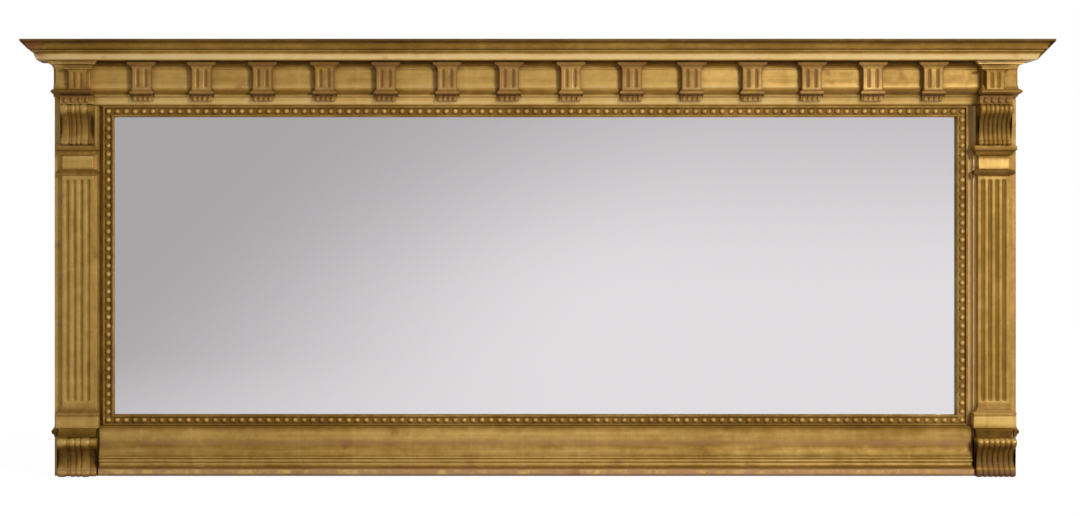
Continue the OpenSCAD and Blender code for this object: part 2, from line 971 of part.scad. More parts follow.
hanger_ring(-1);  // left_hanger_ring
hanger_ring(1);  // right_hanger_ring
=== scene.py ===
# %% [markdown]
# # An overmantel mirror in carved and gilded wood
# A long glass in a bead slip, two fluted pilasters on scroll feet, a frieze of fluted blocks and a deep
# cornice. The construction comes in as a fixed frame, with its sizes. This script makes the surfaces that
# show: softened arrises, reeds, flutes, beads, water gilding worn to its red clay, old pine and steel.

# %% Load the frame
import math
from collections import namedtuple

import bmesh
import bpy
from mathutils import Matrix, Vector


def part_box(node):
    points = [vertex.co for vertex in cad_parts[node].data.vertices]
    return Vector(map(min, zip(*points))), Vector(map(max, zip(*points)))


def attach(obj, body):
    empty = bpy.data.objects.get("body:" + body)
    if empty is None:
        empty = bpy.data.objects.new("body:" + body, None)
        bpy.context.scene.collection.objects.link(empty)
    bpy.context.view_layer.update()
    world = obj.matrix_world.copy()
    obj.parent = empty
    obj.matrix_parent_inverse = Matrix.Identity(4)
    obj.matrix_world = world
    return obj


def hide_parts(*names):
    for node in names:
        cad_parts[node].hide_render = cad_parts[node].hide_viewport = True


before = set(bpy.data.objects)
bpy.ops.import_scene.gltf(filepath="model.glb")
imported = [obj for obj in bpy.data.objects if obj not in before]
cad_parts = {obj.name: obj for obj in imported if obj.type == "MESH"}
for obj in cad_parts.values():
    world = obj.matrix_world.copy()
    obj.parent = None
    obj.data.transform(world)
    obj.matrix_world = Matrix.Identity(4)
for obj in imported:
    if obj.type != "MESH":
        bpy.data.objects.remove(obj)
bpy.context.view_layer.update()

MM = 0.001

# %% [markdown]
# ## Depths and boxes
# A frame maker measures depth forwards from the back of the frame, so this script does too: depth 0 is the
# wall side of the pine, and a moulding's face has a larger depth. All modelling is in millimetres, and
# `at` turns a place into metres in the shared frame. `span` reads where a piece of the construction stands,
# so that the places and overall sizes below follow from the frame.

# %% Millimetres, depths and spans
back_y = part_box("back_left_stile")[1].y
Span = namedtuple("Span", "x0 x1 d0 d1 z0 z1")


def at(x, depth, z):
    return (x * MM, back_y - depth * MM, z * MM)


def span(node):
    low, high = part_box(node)
    depths = (back_y - high.y) / MM, (back_y - low.y) / MM
    return Span(low.x / MM, high.x / MM, *depths, low.z / MM, high.z / MM)


def placed(name, data):
    """A new object of the scene that holds this data."""
    made = bpy.data.objects.new(name, data)
    bpy.context.scene.collection.objects.link(made)
    return made


STILE = span("back_right_stile")
PIER = span("right_pier_block")
CORNICE = span("cornice_front")
FRIEZE = span("frieze_board")
SHAFT = span("right_pilaster_shaft")
TAENIA = span("right_pier_taenia")
SLIP = span("slip_top")
SLIP_FOOT = span("slip_bottom")
PLATE = span("mirror_plate")

body_x = STILE.x1
frame_t = STILE.d1
pilaster_x = (SHAFT.x0 + SHAFT.x1) / 2
pier_side = PIER.x1
pier_in = body_x - pier_side
block_count = len([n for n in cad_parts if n.startswith("triglyph_")])
block_xs = [sum(span(f"triglyph_{i:02d}")[:2]) / 2 for i in range(1, block_count + 1)]
print("half width of the body", round(body_x, 1), "and", block_count, "frieze blocks")

# %% [markdown]
# ## The camera
# The photograph is taken level, from left of the middle: the right sides of the left blocks show, and the
# left sides of the right ones. A level camera keeps every upright parallel, so the framing comes from the
# lens shift, as with a view camera, and not from turning the camera.

# %% The camera
PICTURE_W = 1080
AXIS_PX = 400
LENS_PX = 2253
SENSOR = 36
EYE = (-0.1993, -3.304, 0.3208)
NEAREST_SEEN = 0.05

camera = placed("camera", bpy.data.cameras.new("camera"))
camera.location = EYE
camera.rotation_euler = (math.radians(90), 0, 0)
camera.data.sensor_fit = "HORIZONTAL"
camera.data.sensor_width = SENSOR
camera.data.lens = LENS_PX / PICTURE_W * SENSOR
camera.data.shift_x = (PICTURE_W / 2 - AXIS_PX) / PICTURE_W
camera.data.clip_start = NEAREST_SEEN
bpy.context.scene.camera = camera
print("lens", round(camera.data.lens, 1), "mm")

# %% [markdown]
# ## Writing node trees as sentences
# A finish is mostly arithmetic on masks. `Wire` holds one output of a node and gives it Python's own
# operators, so `1 - mask` or `cloud * 0.5 + tone` adds the Math nodes. `Graph.node` makes any other node:
# its settings are set first, because they decide which sockets there are. The same two classes write the
# materials and the Geometry Nodes trees.

# %% Wires
class Wire:
    """One output of a node, on which arithmetic adds Math nodes."""

    def __init__(self, graph, socket):
        self.graph = graph
        self.socket = socket

    def math(self, operation, *values, clamp=False):
        settings = {"operation": operation, "use_clamp": clamp}
        return self.graph.node("ShaderNodeMath", settings, dict(enumerate(values)))

    def __add__(self, other):
        return self.math("ADD", self, other)

    def __sub__(self, other):
        return self.math("SUBTRACT", self, other)

    def __rsub__(self, other):
        return self.math("SUBTRACT", other, self)

    def __mul__(self, other):
        return self.math("MULTIPLY", self, other)

    __radd__ = __add__
    __rmul__ = __mul__

    def clamped(self):
        return self.math("ADD", self, 0.0, clamp=True)

    def fraction(self):
        return self.math("FRACT", self)

    def size(self):
        return self.math("ABSOLUTE", self)

    def least(self, other):
        return self.math("MINIMUM", self, other)

    def between(self, low, high):
        """0 at low, 1 at high, and a smooth step from one to the other."""
        settings = {"interpolation_type": "SMOOTHSTEP"}
        sockets = {"Value": self, "From Min": low, "From Max": high}
        return self.graph.node("ShaderNodeMapRange", settings, sockets)


print("a wire can stand in a sum, such as 1 - mask")


# %% Graphs
class Graph:
    """A node tree under construction."""

    def __init__(self, tree):
        self.tree = tree
        tree.nodes.clear()

    def node(self, kind, settings=None, sockets=None, out=0):
        made = self.tree.nodes.new(kind)
        for key, value in (settings or {}).items():
            setattr(made, key, value)
        for key, value in (sockets or {}).items():
            if isinstance(value, Wire):
                self.tree.links.new(value.socket, made.inputs[key])
            else:
                made.inputs[key].default_value = value
        return Wire(self, made.outputs[out]) if made.outputs else made


def colour(red, green, blue):
    return (red, green, blue, 1.0)


print("a colour with its alpha:", colour(1, 1, 1))

# %% [markdown]
# A material is a graph with a few nodes that come again in every finish. The most useful one here is
# `by_height`, which turns a list of heights into a tone. A colour ramp holds 32 stops at most, so a longer
# list runs on through several ramps.

# %% The tree of a material
RAMP_STOPS = 32


class Paint(Graph):
    """The node tree of a material, with the nodes that every finish here uses."""

    def __init__(self, name):
        self.material = bpy.data.materials.new(name)
        self.material.use_nodes = True
        super().__init__(self.material.node_tree)

    def place(self):
        return self.node("ShaderNodeTexCoord", out="Object")

    def stretched(self, place, scale):
        return self.node("ShaderNodeMapping", None, {"Vector": place, "Scale": scale})

    def noise(self, place, scale, detail=2.0, rough=0.5):
        sockets = {"Vector": place, "Scale": scale, "Detail": detail, "Roughness": rough}
        return self.node("ShaderNodeTexNoise", None, sockets)

    def parts(self, vector):
        made = self.tree.nodes.new("ShaderNodeSeparateXYZ")
        self.tree.links.new(vector.socket, made.inputs[0])
        return [Wire(self, made.outputs[i]) for i in range(3)]

    def mix(self, low, high, amount):
        settings = {"data_type": "RGBA", "clamp_factor": True}
        return self.node("ShaderNodeMix", settings, {0: amount, 6: low, 7: high}, out=2)

    def distance(self, place, point):
        settings = {"operation": "DISTANCE"}
        return self.node("ShaderNodeVectorMath", settings, {0: place, 1: point}, out=1)

    def attribute(self, name):
        return self.node("ShaderNodeAttribute", {"attribute_name": name}, out="Fac")

    def open_air(self, reach):
        """1 on an open face, and less the more of the nearest surroundings close it in."""
        return self.node("ShaderNodeAmbientOcclusion", {"samples": 4}, {"Distance": reach}, out="AO")

    def eased(self, radius):
        """The normal that the surface would have with its arrises rounded."""
        return self.node("ShaderNodeBevel", {"samples": 4}, {"Radius": radius})

    def bump(self, relief, strength, height, **sockets):
        sockets.update(Strength=strength, Distance=height, Height=relief)
        return self.node("ShaderNodeBump", None, sockets)

    def by_height(self, z, stops):
        """A value that follows the height. stops are (millimetres, value from -1 to 2), from the foot up."""
        total = 0.0
        for first in range(0, len(stops) - 1, RAMP_STOPS - 1):
            part = stops[first:first + RAMP_STOPS]
            low, high = part[0][0], part[-1][0]
            share = z * (1 / (high - low) / MM) - low / (high - low)
            ramp = self.tree.nodes.new("ShaderNodeValToRGB")
            self.tree.links.new(share.socket, ramp.inputs[0])
            elements = ramp.color_ramp.elements
            for i, (height, value) in enumerate(part):
                position = (height - low) / (high - low)
                held = elements[i] if i < 2 else elements.new(position)
                held.position = position
                held.color = colour(*[(value + 1) / 3] * 3)
            # Each part after the first adds only its change from the stop that it shares with the last
            total = Wire(self, ramp.outputs[0]) * 3 - (1 if first == 0 else 1 + part[0][1]) + total
        return total

    def surface(self, shader):
        self.node("ShaderNodeOutputMaterial", None, {"Surface": shader})
        return self.material

    def finished(self, sockets):
        return self.surface(self.node("ShaderNodeBsdfPrincipled", None, sockets))


print("ramps for 50 heights:", len(range(0, 50 - 1, RAMP_STOPS - 1)))

# %% [markdown]
# ## The studio
# The object stands on a pale floor in an evenly lit white room. Everything that the camera sees directly is
# white, which Light Path's Is Camera Ray gives without adding any light. The floor runs forwards and curves
# up into a wall behind the camera. That wall is what the glass and the gold reflect, so it carries the soft
# fall of light of the photograph: brighter low on the right, greyer high on the left.

# %% The sweep of floor and wall
FLOOR_YS = (2.6, 0.4, -1.5)
FLOOR_GAP = 0.0004
WALL_Y = -5.0
COVE_R = 1.4
WALL_TOP = 3.2
HALF_ROOM = 5.0


def quarter_turn(steps):
    """Equal turns from nothing to a right angle."""
    return [math.radians(90 * i / steps) for i in range(steps + 1)]


def room_section():
    points = [(y, 0.0) for y in FLOOR_YS]
    for angle in quarter_turn(16):
        points.append((WALL_Y + COVE_R * (1 - math.sin(angle)), COVE_R * (1 - math.cos(angle))))
    return points + [(WALL_Y, WALL_TOP)]


section = room_section()
room_mesh = bpy.data.meshes.new("studio_sweep")
room_points = [(x, y, z) for y, z in section for x in (-HALF_ROOM, HALF_ROOM)]
room_faces = [(2 * i, 2 * i + 1, 2 * i + 3, 2 * i + 2) for i in range(len(section) - 1)]
room_mesh.from_pydata(room_points, [], room_faces)
room = placed("studio_sweep", room_mesh)
room.location.z = -FLOOR_GAP
for face in room_mesh.polygons:
    face.use_smooth = True
print("floor from y =", FLOOR_YS[0], "to", WALL_Y)

# %% [markdown]
# What the glass shows is laid out on the sweep in the sweep's own coordinates: brighter to the right and
# low down, greyer to the left, and dimmer again high up. On the floor the height is nought and the nearness
# takes over, so the tone runs on without a seam where the floor meets the wall. The floor close in front of
# the frame is brighter still, which lights the faces that look a little down.

# %% Finish of the floor and wall
paint = Paint("studio_white")
room_x, room_y, room_z = paint.parts(paint.place())
lit = (room_x * 0.555 - room_z * 0.461 + (room_y + 3.6) * 0.029 + 0.804).between(0.0, 1.0)
high_up = room_z.between(0.157, 1.071)
close = room_y.between(-1.45, -0.75) * (1 - room_y.between(0.1, 0.5))
reflected = lit * (1 - high_up * 0.662) * 0.373 + 0.417 + close * lit * 0.25
path = "ShaderNodeLightPath"
seen = paint.node(path, out="Is Camera Ray")
mirrored = paint.node(path, out="Is Glossy Ray")
through = paint.node(path, out="Is Transmission Ray")
matt = paint.node("ShaderNodeBsdfDiffuse", None, {"Color": colour(0.6, 0.6, 0.6)})
glow = paint.node("ShaderNodeEmission", None, {"Color": colour(1.0, 0.975, 0.995), "Strength": reflected})
white = paint.node("ShaderNodeEmission", None, {"Strength": 1.5})
shown = paint.node("ShaderNodeMixShader", None, {0: 0.62, 1: matt, 2: white})
in_glass = paint.node("ShaderNodeMixShader", None, {0: (mirrored + through).clamped(), 1: matt, 2: glow})
room_mesh.materials.append(
    paint.surface(paint.node("ShaderNodeMixShader", None, {0: seen, 1: in_glass, 2: shown}))
)
print("floor and wall finished")

# %% [markdown]
# The sky of the room is a plain grey that lights everything a little. A soft lamp stands on the right, about
# thirty degrees off the front and some way above the mirror. It gives each block its short shadow on the
# left and the cornice a shallow one below. A weak broad lamp on the left keeps those shadows open, and a
# third lights the back for the views from behind.

# %% World and lamps
world = bpy.data.worlds.new("room_light")
bpy.context.scene.world = world
world.use_nodes = True
sky = Graph(world.node_tree)
to_camera = sky.node(path, out="Is Camera Ray")
to_glass = sky.node(path, out="Is Glossy Ray")
sky_tone = to_camera * 0.85 + to_glass * 0.25 + 0.15
backdrop = sky.node("ShaderNodeBackground", None, {"Color": colour(1, 1, 1), "Strength": sky_tone})
sky.node("ShaderNodeOutputWorld", None, {"Surface": backdrop})

OBJECT_MIDDLE = Vector((0, 0, 0.32))


def lamp(name, place, size, power, warmth):
    """An area lamp that points at the middle of the mirror. place and size are in metres."""
    made = placed(name, bpy.data.lights.new(name, "AREA"))
    made.data.shape = "RECTANGLE"
    made.data.size, made.data.size_y = size
    made.data.energy = power
    made.data.color = warmth
    made.location = place
    made.rotation_euler = (OBJECT_MIDDLE - made.location).to_track_quat("-Z", "Y").to_euler()


lamp("key_right", (1.9, -3.05, 1.35), (0.7, 0.7), 66, (1.0, 0.97, 0.93))
lamp("fill_left", (-2.6, -2.6, 1.5), (1.6, 1.6), 6, (0.97, 0.98, 1.0))
lamp("from_behind", (0.4, 3.0, 1.6), (2.4, 1.2), 26, (1.0, 1.0, 1.0))
bpy.context.scene.view_settings.view_transform = "Standard"
print("three lamps and a grey room")

# %% [markdown]
# ## Gilding
# The wood is coated with gesso, then with red clay, and gold leaf is laid over it in squares of about 80
# mm, each lapping the last. A century adds a brown glaze in the hollows, leaf rubbed through to clay on the
# arrises, and small chips that bare the white gesso. One function paints all of it from the object's own
# coordinates, a layer at a time, so the laps run across the moulding wherever it goes. It also paints
# shade and highlights into the colour. Ambient occlusion finds the closed corners, which are darkened
# with umber as painted shade and dirt together. The difference between the true and a bevelled normal
# finds the arrises, which get a painted highlight as well as their wear.

# %% Colours of the gilding
LEAF = colour(0.80, 0.515, 0.145)
# Pale leaf for the laps, also the colour of painted highlights.
LEAF_PALE_AND_HIGHLIGHT = colour(1.0, 0.74, 0.33)
# The brown of the glaze, also the colour of painted shade.
GLAZE_AND_SHADE = colour(0.345, 0.18, 0.022)
# Umber for dirt, and for the deepest painted shade.
UMBER = colour(0.085, 0.036, 0.003)
BLUSH = colour(0.50, 0.265, 0.13)
CLAY = colour(0.30, 0.105, 0.045)
GESSO = colour(0.82, 0.73, 0.60)
OCHRE = colour(0.36, 0.20, 0.07)
PINE_PALE = colour(0.46, 0.29, 0.145)
PINE_DARK = colour(0.20, 0.105, 0.045)
DUST = colour(0.27, 0.22, 0.165)
LEAF_SQUARE = 0.081
print("leaf in squares of", round(LEAF_SQUARE / MM), "mm")

# %% [markdown]
# The glaze isn't even, and shade and highlights are painted into it with the same tone. Glaze and painted
# shade lie dark in the coves, on the waists of the scrolls, in every quirk and under each projecting
# member, and painted highlights brighten the corona and the crowns. Each list below gives that tone by
# height in millimetres: -1 is a pale painted highlight, 0 is plain leaf, 1 is the brown of glaze and
# painted shade and 2 is umber. A blush list says in the same way how much coppery clay shows through,
# from 0 to 1.

# %% How dark the glaze and the painted shade lie at each height
# On the cornice: a painted highlight on the corona, and painted shade with glaze under the soffit and in the
# bead, the hollow and the fillet above it.
ON_CORNICE = [
    (607.2, 2.0), (608.1, 1.3), (609.0, 0.5), (610.4, -0.5), (612.2, -1.0), (614.7, -1.0), (616.2, -0.7),
    (617.4, 0.0), (618.6, 0.6), (620.0, 1.05), (621.2, 0.75), (622.6, 0.6), (624.2, 0.9), (625.6, 1.1),
    (627.6, 0.95), (630.3, 1.0), (632.0, 1.3), (633.4, 1.65), (638.0, 1.5),
]
# On the frieze runs: painted shade with glaze under the cornice and under the taenia, and a painted highlight
# on the architrave.
ON_FRIEZE = [
    (543.6, 0.9), (545.9, 0.9), (547.1, 0.1), (548.6, -0.4), (550.3, -0.6), (553.3, -0.1), (556.3, -0.1),
    (558.2, -0.2), (559.8, 0.6), (561.5, 1.25), (563.0, 1.3), (564.4, 1.2), (565.9, 1.0), (567.3, 0.75),
    (568.8, 0.4), (570.6, -0.25), (572.0, -0.35), (574.2, 0.0), (576.4, 0.15), (578.5, 0.33), (582.3, 0.4),
    (588.2, 0.32), (596.0, 0.3), (598.0, 0.45), (600.0, 0.75), (602.0, 0.95), (604.4, 1.3), (607.5, 1.8),
]
# On the blocks: painted shade with glaze under each foot and under the cap.
ON_BLOCKS = [
    (548.6, 0.8), (552.0, 0.5), (555.0, 0.7), (557.5, 1.2), (559.5, 1.35), (561.5, 1.1), (563.5, 0.7),
    (565.2, 0.95), (567.5, 0.5), (569.5, 0.35), (574.0, 0.45), (585.0, 0.55), (593.0, 0.65), (596.6, 0.5),
    (600.5, 0.8), (603.2, 1.1), (605.0, 0.8), (606.5, 0.7), (608.0, 1.0),
]
# On the left pilaster: painted shade with glaze on the waists of the scrolls and under the mouldings, and
# painted highlights on the crowns of the rolls.
ON_LEFT = [
    (0.0, 1.2), (2.6, 0.8), (6.6, 0.1), (10.1, 0.0), (17.6, 0.8), (24.6, 1.2), (30.6, 1.45), (40.6, 1.45),
    (45.6, 1.0), (48.6, 0.4), (52.6, -0.1), (55.6, 0.2), (58.6, 1.2), (62.6, 1.5), (68.6, 1.0), (71.6, 0.5),
    (77.6, 0.35), (85.6, 0.4), (88.6, 0.7), (93.6, 0.95), (97.6, 1.15), (102.6, 0.7), (108.1, 0.4),
    (113.6, 0.35), (428.6, 0.35), (433.6, 0.55), (441.6, 0.1), (444.6, 1.2), (448.3, 1.5), (451.6, 0.7),
    (455.6, 0.2), (463.0, 0.4), (469.1, 0.1), (471.6, 0.8), (477.6, 1.25), (483.1, 1.1), (487.6, 0.7),
    (493.6, 0.4), (501.1, 0.9), (508.6, 1.1), (519.6, 1.2), (528.6, 1.1), (534.6, 0.5), (541.1, 0.1),
    (544.6, 0.2), (551.6, 0.75), (558.6, 1.3), (564.6, 1.2), (569.6, 0.4), (576.6, 0.4), (590.6, 0.35),
    (594.0, 0.35), (598.5, 0.55), (603.0, 0.1), (606.0, 0.0), (609.0, -0.2),
]
# On the right pilaster: the same painted shade, deeper, and painted highlights on the crowns and the pier
# cap.
ON_RIGHT = [
    (0.0, 1.9), (5.6, 1.8), (8.6, 1.3), (11.6, 0.5), (14.6, 0.9), (17.6, 1.3), (22.6, 1.6), (45.6, 1.5),
    (50.6, 1.0), (52.6, 0.3), (54.6, 0.0), (56.6, 0.3), (58.6, 1.2), (60.6, 1.6), (65.6, 1.8), (70.6, 1.1),
    (73.1, 0.7), (78.6, 0.0), (84.6, 0.0), (87.6, 0.0), (89.6, 0.4), (92.1, 0.95), (95.1, 0.1),
    (99.3, 0.95), (104.6, 0.9), (109.6, 0.3), (116.6, 0.55), (428.6, 0.6), (433.6, 0.75), (439.6, 0.4),
    (442.6, 1.3), (445.6, 1.8), (449.6, 1.2), (453.6, 0.25), (458.6, 0.2), (464.6, 0.3), (469.1, 1.2),
    (473.1, 1.2), (477.6, 1.5), (481.6, 1.1), (484.1, 0.9), (487.6, 0.8), (490.6, 0.9), (493.6, 0.8),
    (498.6, 0.9), (504.6, 1.2), (513.6, 1.5), (527.6, 1.4), (534.6, 0.8), (540.6, 0.6), (543.6, 0.8),
    (547.2, 1.3), (550.2, 0.9), (554.6, 1.4), (558.6, 1.15), (563.1, 0.7), (568.6, 0.45), (572.6, 0.6),
    (590.6, 0.55), (596.6, 0.8), (602.5, 0.1), (605.0, -0.4), (608.0, -0.6), (609.5, -0.5),
]
# On the rail under the glass: painted shade and painted highlights across its hollow, bead and ovolo, with
# glaze.
ON_FOOT_RAIL = [
    (3.5, 0.8), (4.6, 0.4), (6.6, -0.1), (10.6, -0.2), (11.6, 0.9), (13.3, 1.1), (16.6, 0.65), (19.6, 0.1),
    (22.6, 0.2), (25.1, 0.5), (27.0, 0.2), (28.6, 0.6), (30.0, 0.85), (32.6, 0.6), (37.3, 0.55),
    (43.6, 0.8), (49.1, 0.8), (54.6, 0.4), (63.6, 0.3), (69.6, 0.7), (72.6, 1.1),
]
PLAIN = [(0.0, 0.2), (638.0, 0.2)]
# A painted highlight all over the right stile.
PAINTED_BRIGHT = [(0.0, -0.8), (638.0, -0.8)]
BLUSH_LEFT = [
    (0.0, 0.35), (14.0, 0.3), (20.0, 0.0), (90.0, 0.0), (99.0, 0.2), (105.0, 0.0), (480.0, 0.0),
    (484.0, 0.25), (488.0, 0.1), (544.0, 0.05), (553.0, 0.25), (560.0, 0.25), (568.0, 0.0),
]
BLUSH_RIGHT = [
    (0.0, 0.3), (20.0, 0.2), (26.0, 0.0), (94.0, 0.0), (100.0, 0.25), (104.0, 0.0), (494.0, 0.0),
    (498.0, 0.15), (504.0, 0.0), (544.0, 0.05), (551.0, 0.3), (560.0, 0.2), (566.0, 0.0),
]
BLUSH_RAIL = [(3.5, 0.75), (12.3, 0.75), (13.5, 0.0), (44.0, 0.0), (50.0, 0.6), (56.0, 0.0)]
BLUSH_BLOCKS = [(540.0, 0.25), (610.0, 0.25)]
print(len(ON_RIGHT), "heights on the right pilaster")


# %% What every layer reads
Signs = namedtuple("Signs", "place axes cloud mottle streak normal hollow arris")


def signs_of(paint, run):
    """Clouds, mottling and streaks along the moulding, and where it is hollow or has an arris."""
    place = paint.place()
    cloud = paint.noise(place, 6.5, 3.0)
    mottle = paint.noise(place, 58.0, 5.0, 0.62)
    stretch = [10.0 if axis == run else 170.0 for axis in range(3)]
    streak = paint.noise(paint.stretched(place, stretch), 1.0, 4.0, 0.6)
    normal = paint.node("ShaderNodeNewGeometry", out="Normal")
    hollow = 1 - paint.open_air(0.010).between(0.25, 0.88)
    product = {"operation": "DOT_PRODUCT"}
    agree = paint.node("ShaderNodeVectorMath", product, {0: paint.eased(0.0011), 1: normal}, out=1)
    arris = (1 - agree).between(0.015, 0.16) * (1 - hollow)
    return Signs(place, paint.parts(place), cloud, mottle, streak, normal, hollow, arris)


print("each layer reads", len(Signs._fields), "signs")


# %% Leaf, glaze, painted shade and painted highlights
def glaze_and_shade_of(paint, signs, heights, sunk, across):
    """How dark the glaze and the painted shade lie: by height, in clouds, by copy, in valleys and from one
    side to the other; below 0 it is a painted highlight.
    """
    clouds = (signs.cloud - 0.5) * 1.1 + (signs.mottle - 0.5) * 0.9 + (signs.streak - 0.5) * 0.7
    wobble = (signs.streak - 0.5) * 0.0014
    tone = paint.by_height(signs.axes[2] + wobble, heights)
    # The valley value adds painted shade, with glaze, in the carved valleys.
    glaze_and_shade = tone + clouds + paint.attribute("tone") * 0.22 + paint.attribute("valley") * sunk
    # across adds painted shade that deepens from one X to the other.
    if across:
        low, high, deeper = across
        glaze_and_shade = glaze_and_shade + signs.axes[0].between(low, high) * deeper
    return glaze_and_shade


def laps_of(paint, signs, run):
    """The double leaf where one square laps the last."""
    squares = signs.axes[run] * (1 / LEAF_SQUARE) + paint.noise(signs.place, 11.0, 2.0) * 0.5
    return (squares.fraction() - 0.5).size().between(0.45, 0.495)


def gold_of(paint, signs, glaze_and_shade, lap, corner_dirt_and_shade, blush):
    """The colour of the leaf under its glaze, painted shade and painted highlights, before any wear."""
    # Below 0 the gold is painted pale as a highlight, above 0 brown as glaze and painted shade.
    gold = paint.mix(LEAF, LEAF_PALE_AND_HIGHLIGHT, (0 - glaze_and_shade).clamped())
    gold = paint.mix(gold, GLAZE_AND_SHADE, glaze_and_shade.clamped())
    gold = paint.mix(gold, UMBER, (glaze_and_shade - 1).clamped())
    gold = paint.mix(gold, LEAF_PALE_AND_HIGHLIGHT, lap * (1 - glaze_and_shade.clamped()) * 0.16)
    # Arrises are painted pale: a painted highlight.
    gold = paint.mix(gold, LEAF_PALE_AND_HIGHLIGHT, signs.arris * (1 - (glaze_and_shade - 0.6).clamped()) * 0.30)
    # Closed corners are painted umber: painted shade, with dirt.
    gold = paint.mix(gold, UMBER, signs.hollow * corner_dirt_and_shade)
    if blush:
        warm = paint.by_height(signs.axes[2], blush) * signs.mottle.between(0.30, 0.56)
        gold = paint.mix(gold, BLUSH, warm.clamped())
    return gold


print("leaf, laps and glaze ready")


# %% Wear
def wear_of(paint, signs, wear, rubs):
    """Where clay shows and where chips bare the gesso: thin patches, rubbed arrises and the listed rubs."""
    place = signs.place
    patches = paint.noise(place, 27.0, 4.0, 0.6).between(0.66 - 0.10 * wear, 0.80 - 0.10 * wear) * 0.42
    rub = paint.noise(place, 95.0, 4.0, 0.65)
    edge_rub = signs.arris * rub.between(0.60 - 0.22 * wear, 0.72 - 0.16 * wear) * 0.85
    clay, chippy = patches + edge_rub, signs.arris * 0.8
    for point, reach in rubs:
        worn = 1 - paint.distance(place, point).between(reach * 0.35, reach)
        clay = clay + worn * (signs.mottle * 0.6 + signs.streak * 0.4).between(0.36, 0.56) * 0.9
        chippy = chippy + worn * 0.4
    return clay.clamped(), chippy.clamped() * paint.noise(place, 210.0, 2.0).between(0.655, 0.685)


def ungilded(paint, signs):
    """Where the wood is bare at the very back, and where dust lies on the top of the cornice."""
    rag = paint.noise(signs.place, 70.0, 3.0) * 0.004
    bare = (signs.axes[1] + rag).between(back_y - 0.0025, back_y - 0.0005)
    roof = signs.axes[2].between(CORNICE.z1 * MM - 0.0012, CORNICE.z1 * MM - 0.0006)
    return bare, paint.parts(signs.normal)[2].between(0.85, 0.97) * roof


print("wear and bare wood ready")


# %% The giltwood finish
def giltwood(name, heights, wear, run, rubs=(), blush=(), sunk=0.9, corner_dirt_and_shade=0.6, across=None):
    """run is the axis that the moulding follows: 0 for X, 1 for Y or 2 for Z. rubs are worn places, each a
    point and its reach in metres. sunk and the argument after it are how dark the carved valleys and the
    closed corners are painted: painted shade there, with glaze in the valleys and dirt in the corners. across
    is (low X, high X, tone), in metres: painted shade that deepens from one to the other."""
    paint = Paint(name)
    signs = signs_of(paint, run)
    mottle, streak = signs.mottle, signs.streak
    glaze_and_shade, lap = glaze_and_shade_of(paint, signs, heights, sunk, across), laps_of(paint, signs, run)
    clay, chips = wear_of(paint, signs, wear, rubs)
    bare, top = ungilded(paint, signs)
    specks = paint.noise(signs.place, 640.0, 1.0).between(0.70, 0.76) * 0.45

    gold = gold_of(paint, signs, glaze_and_shade, lap, corner_dirt_and_shade, blush)
    grey = paint.mix(DUST, OCHRE, mottle.between(0.35, 0.7))
    pine = paint.mix(PINE_DARK, PINE_PALE, streak.between(0.30, 0.62) * 0.75 + signs.cloud * 0.35)
    for shown, amount in ((CLAY, clay), (UMBER, specks), (GESSO, chips), (pine, bare), (grey, top)):
        gold = paint.mix(gold, shown, amount)

    dull = signs.hollow * 0.7 + clay + chips + bare + top + specks + (glaze_and_shade - 1).clamped() * 0.6
    plain = dull.clamped()
    metal = (1 - plain) * (0.30 - 0.08 * glaze_and_shade.clamped())
    rough = (mottle * 0.14 + glaze_and_shade.clamped() * 0.16 + plain * 0.2 + 0.30).clamped()
    grain = paint.noise(signs.place, 520.0, 2.0)
    relief = grain * 0.10 + mottle * 0.35 + streak * 0.30 - clay * 0.25 - chips * 0.9 + lap * 0.03
    sockets = {"Base Color": gold, "Metallic": metal, "Roughness": rough, "Specular IOR Level": 0.22}
    sockets["Normal"] = paint.bump(relief, 0.45, 0.0006)
    return paint.finished(sockets)


print("one gilding writes the tone of up to", max(len(ON_LEFT), len(ON_RIGHT)), "heights")

# %% [markdown]
# Eleven gildings follow from that one function. The left end of the cornice is the most worn. The right
# stile gets a painted highlight beside the glass and painted shade outside its pilaster, and the long runs
# of the front and the rail under the glass get painted shade that deepens a little towards the right.

# %% The eleven gildings
X_RUN, Y_RUN, Z_RUN = 0, 1, 2
LEFT_TIP = ((-0.745, -0.03, 0.634), 0.045)
LEFT_END = ((-0.74, 0.0, 0.63), 0.07)
gilt_cornice = giltwood("giltwood_cornice", ON_CORNICE, 0.4, X_RUN, [LEFT_TIP])
gilt_cornice_left = giltwood("giltwood_cornice_left", ON_CORNICE, 0.9, Y_RUN, [LEFT_END])
gilt_cornice_right = giltwood("giltwood_cornice_right", ON_CORNICE, 0.5, Y_RUN)
gilt_runs = giltwood("giltwood_runs", ON_FRIEZE, 0.4, X_RUN, across=(0.25, 0.62, 0.32))
gilt_stile_left = giltwood("giltwood_stile_left", PLAIN, 0.45, Z_RUN, sunk=0.45, corner_dirt_and_shade=0.12)
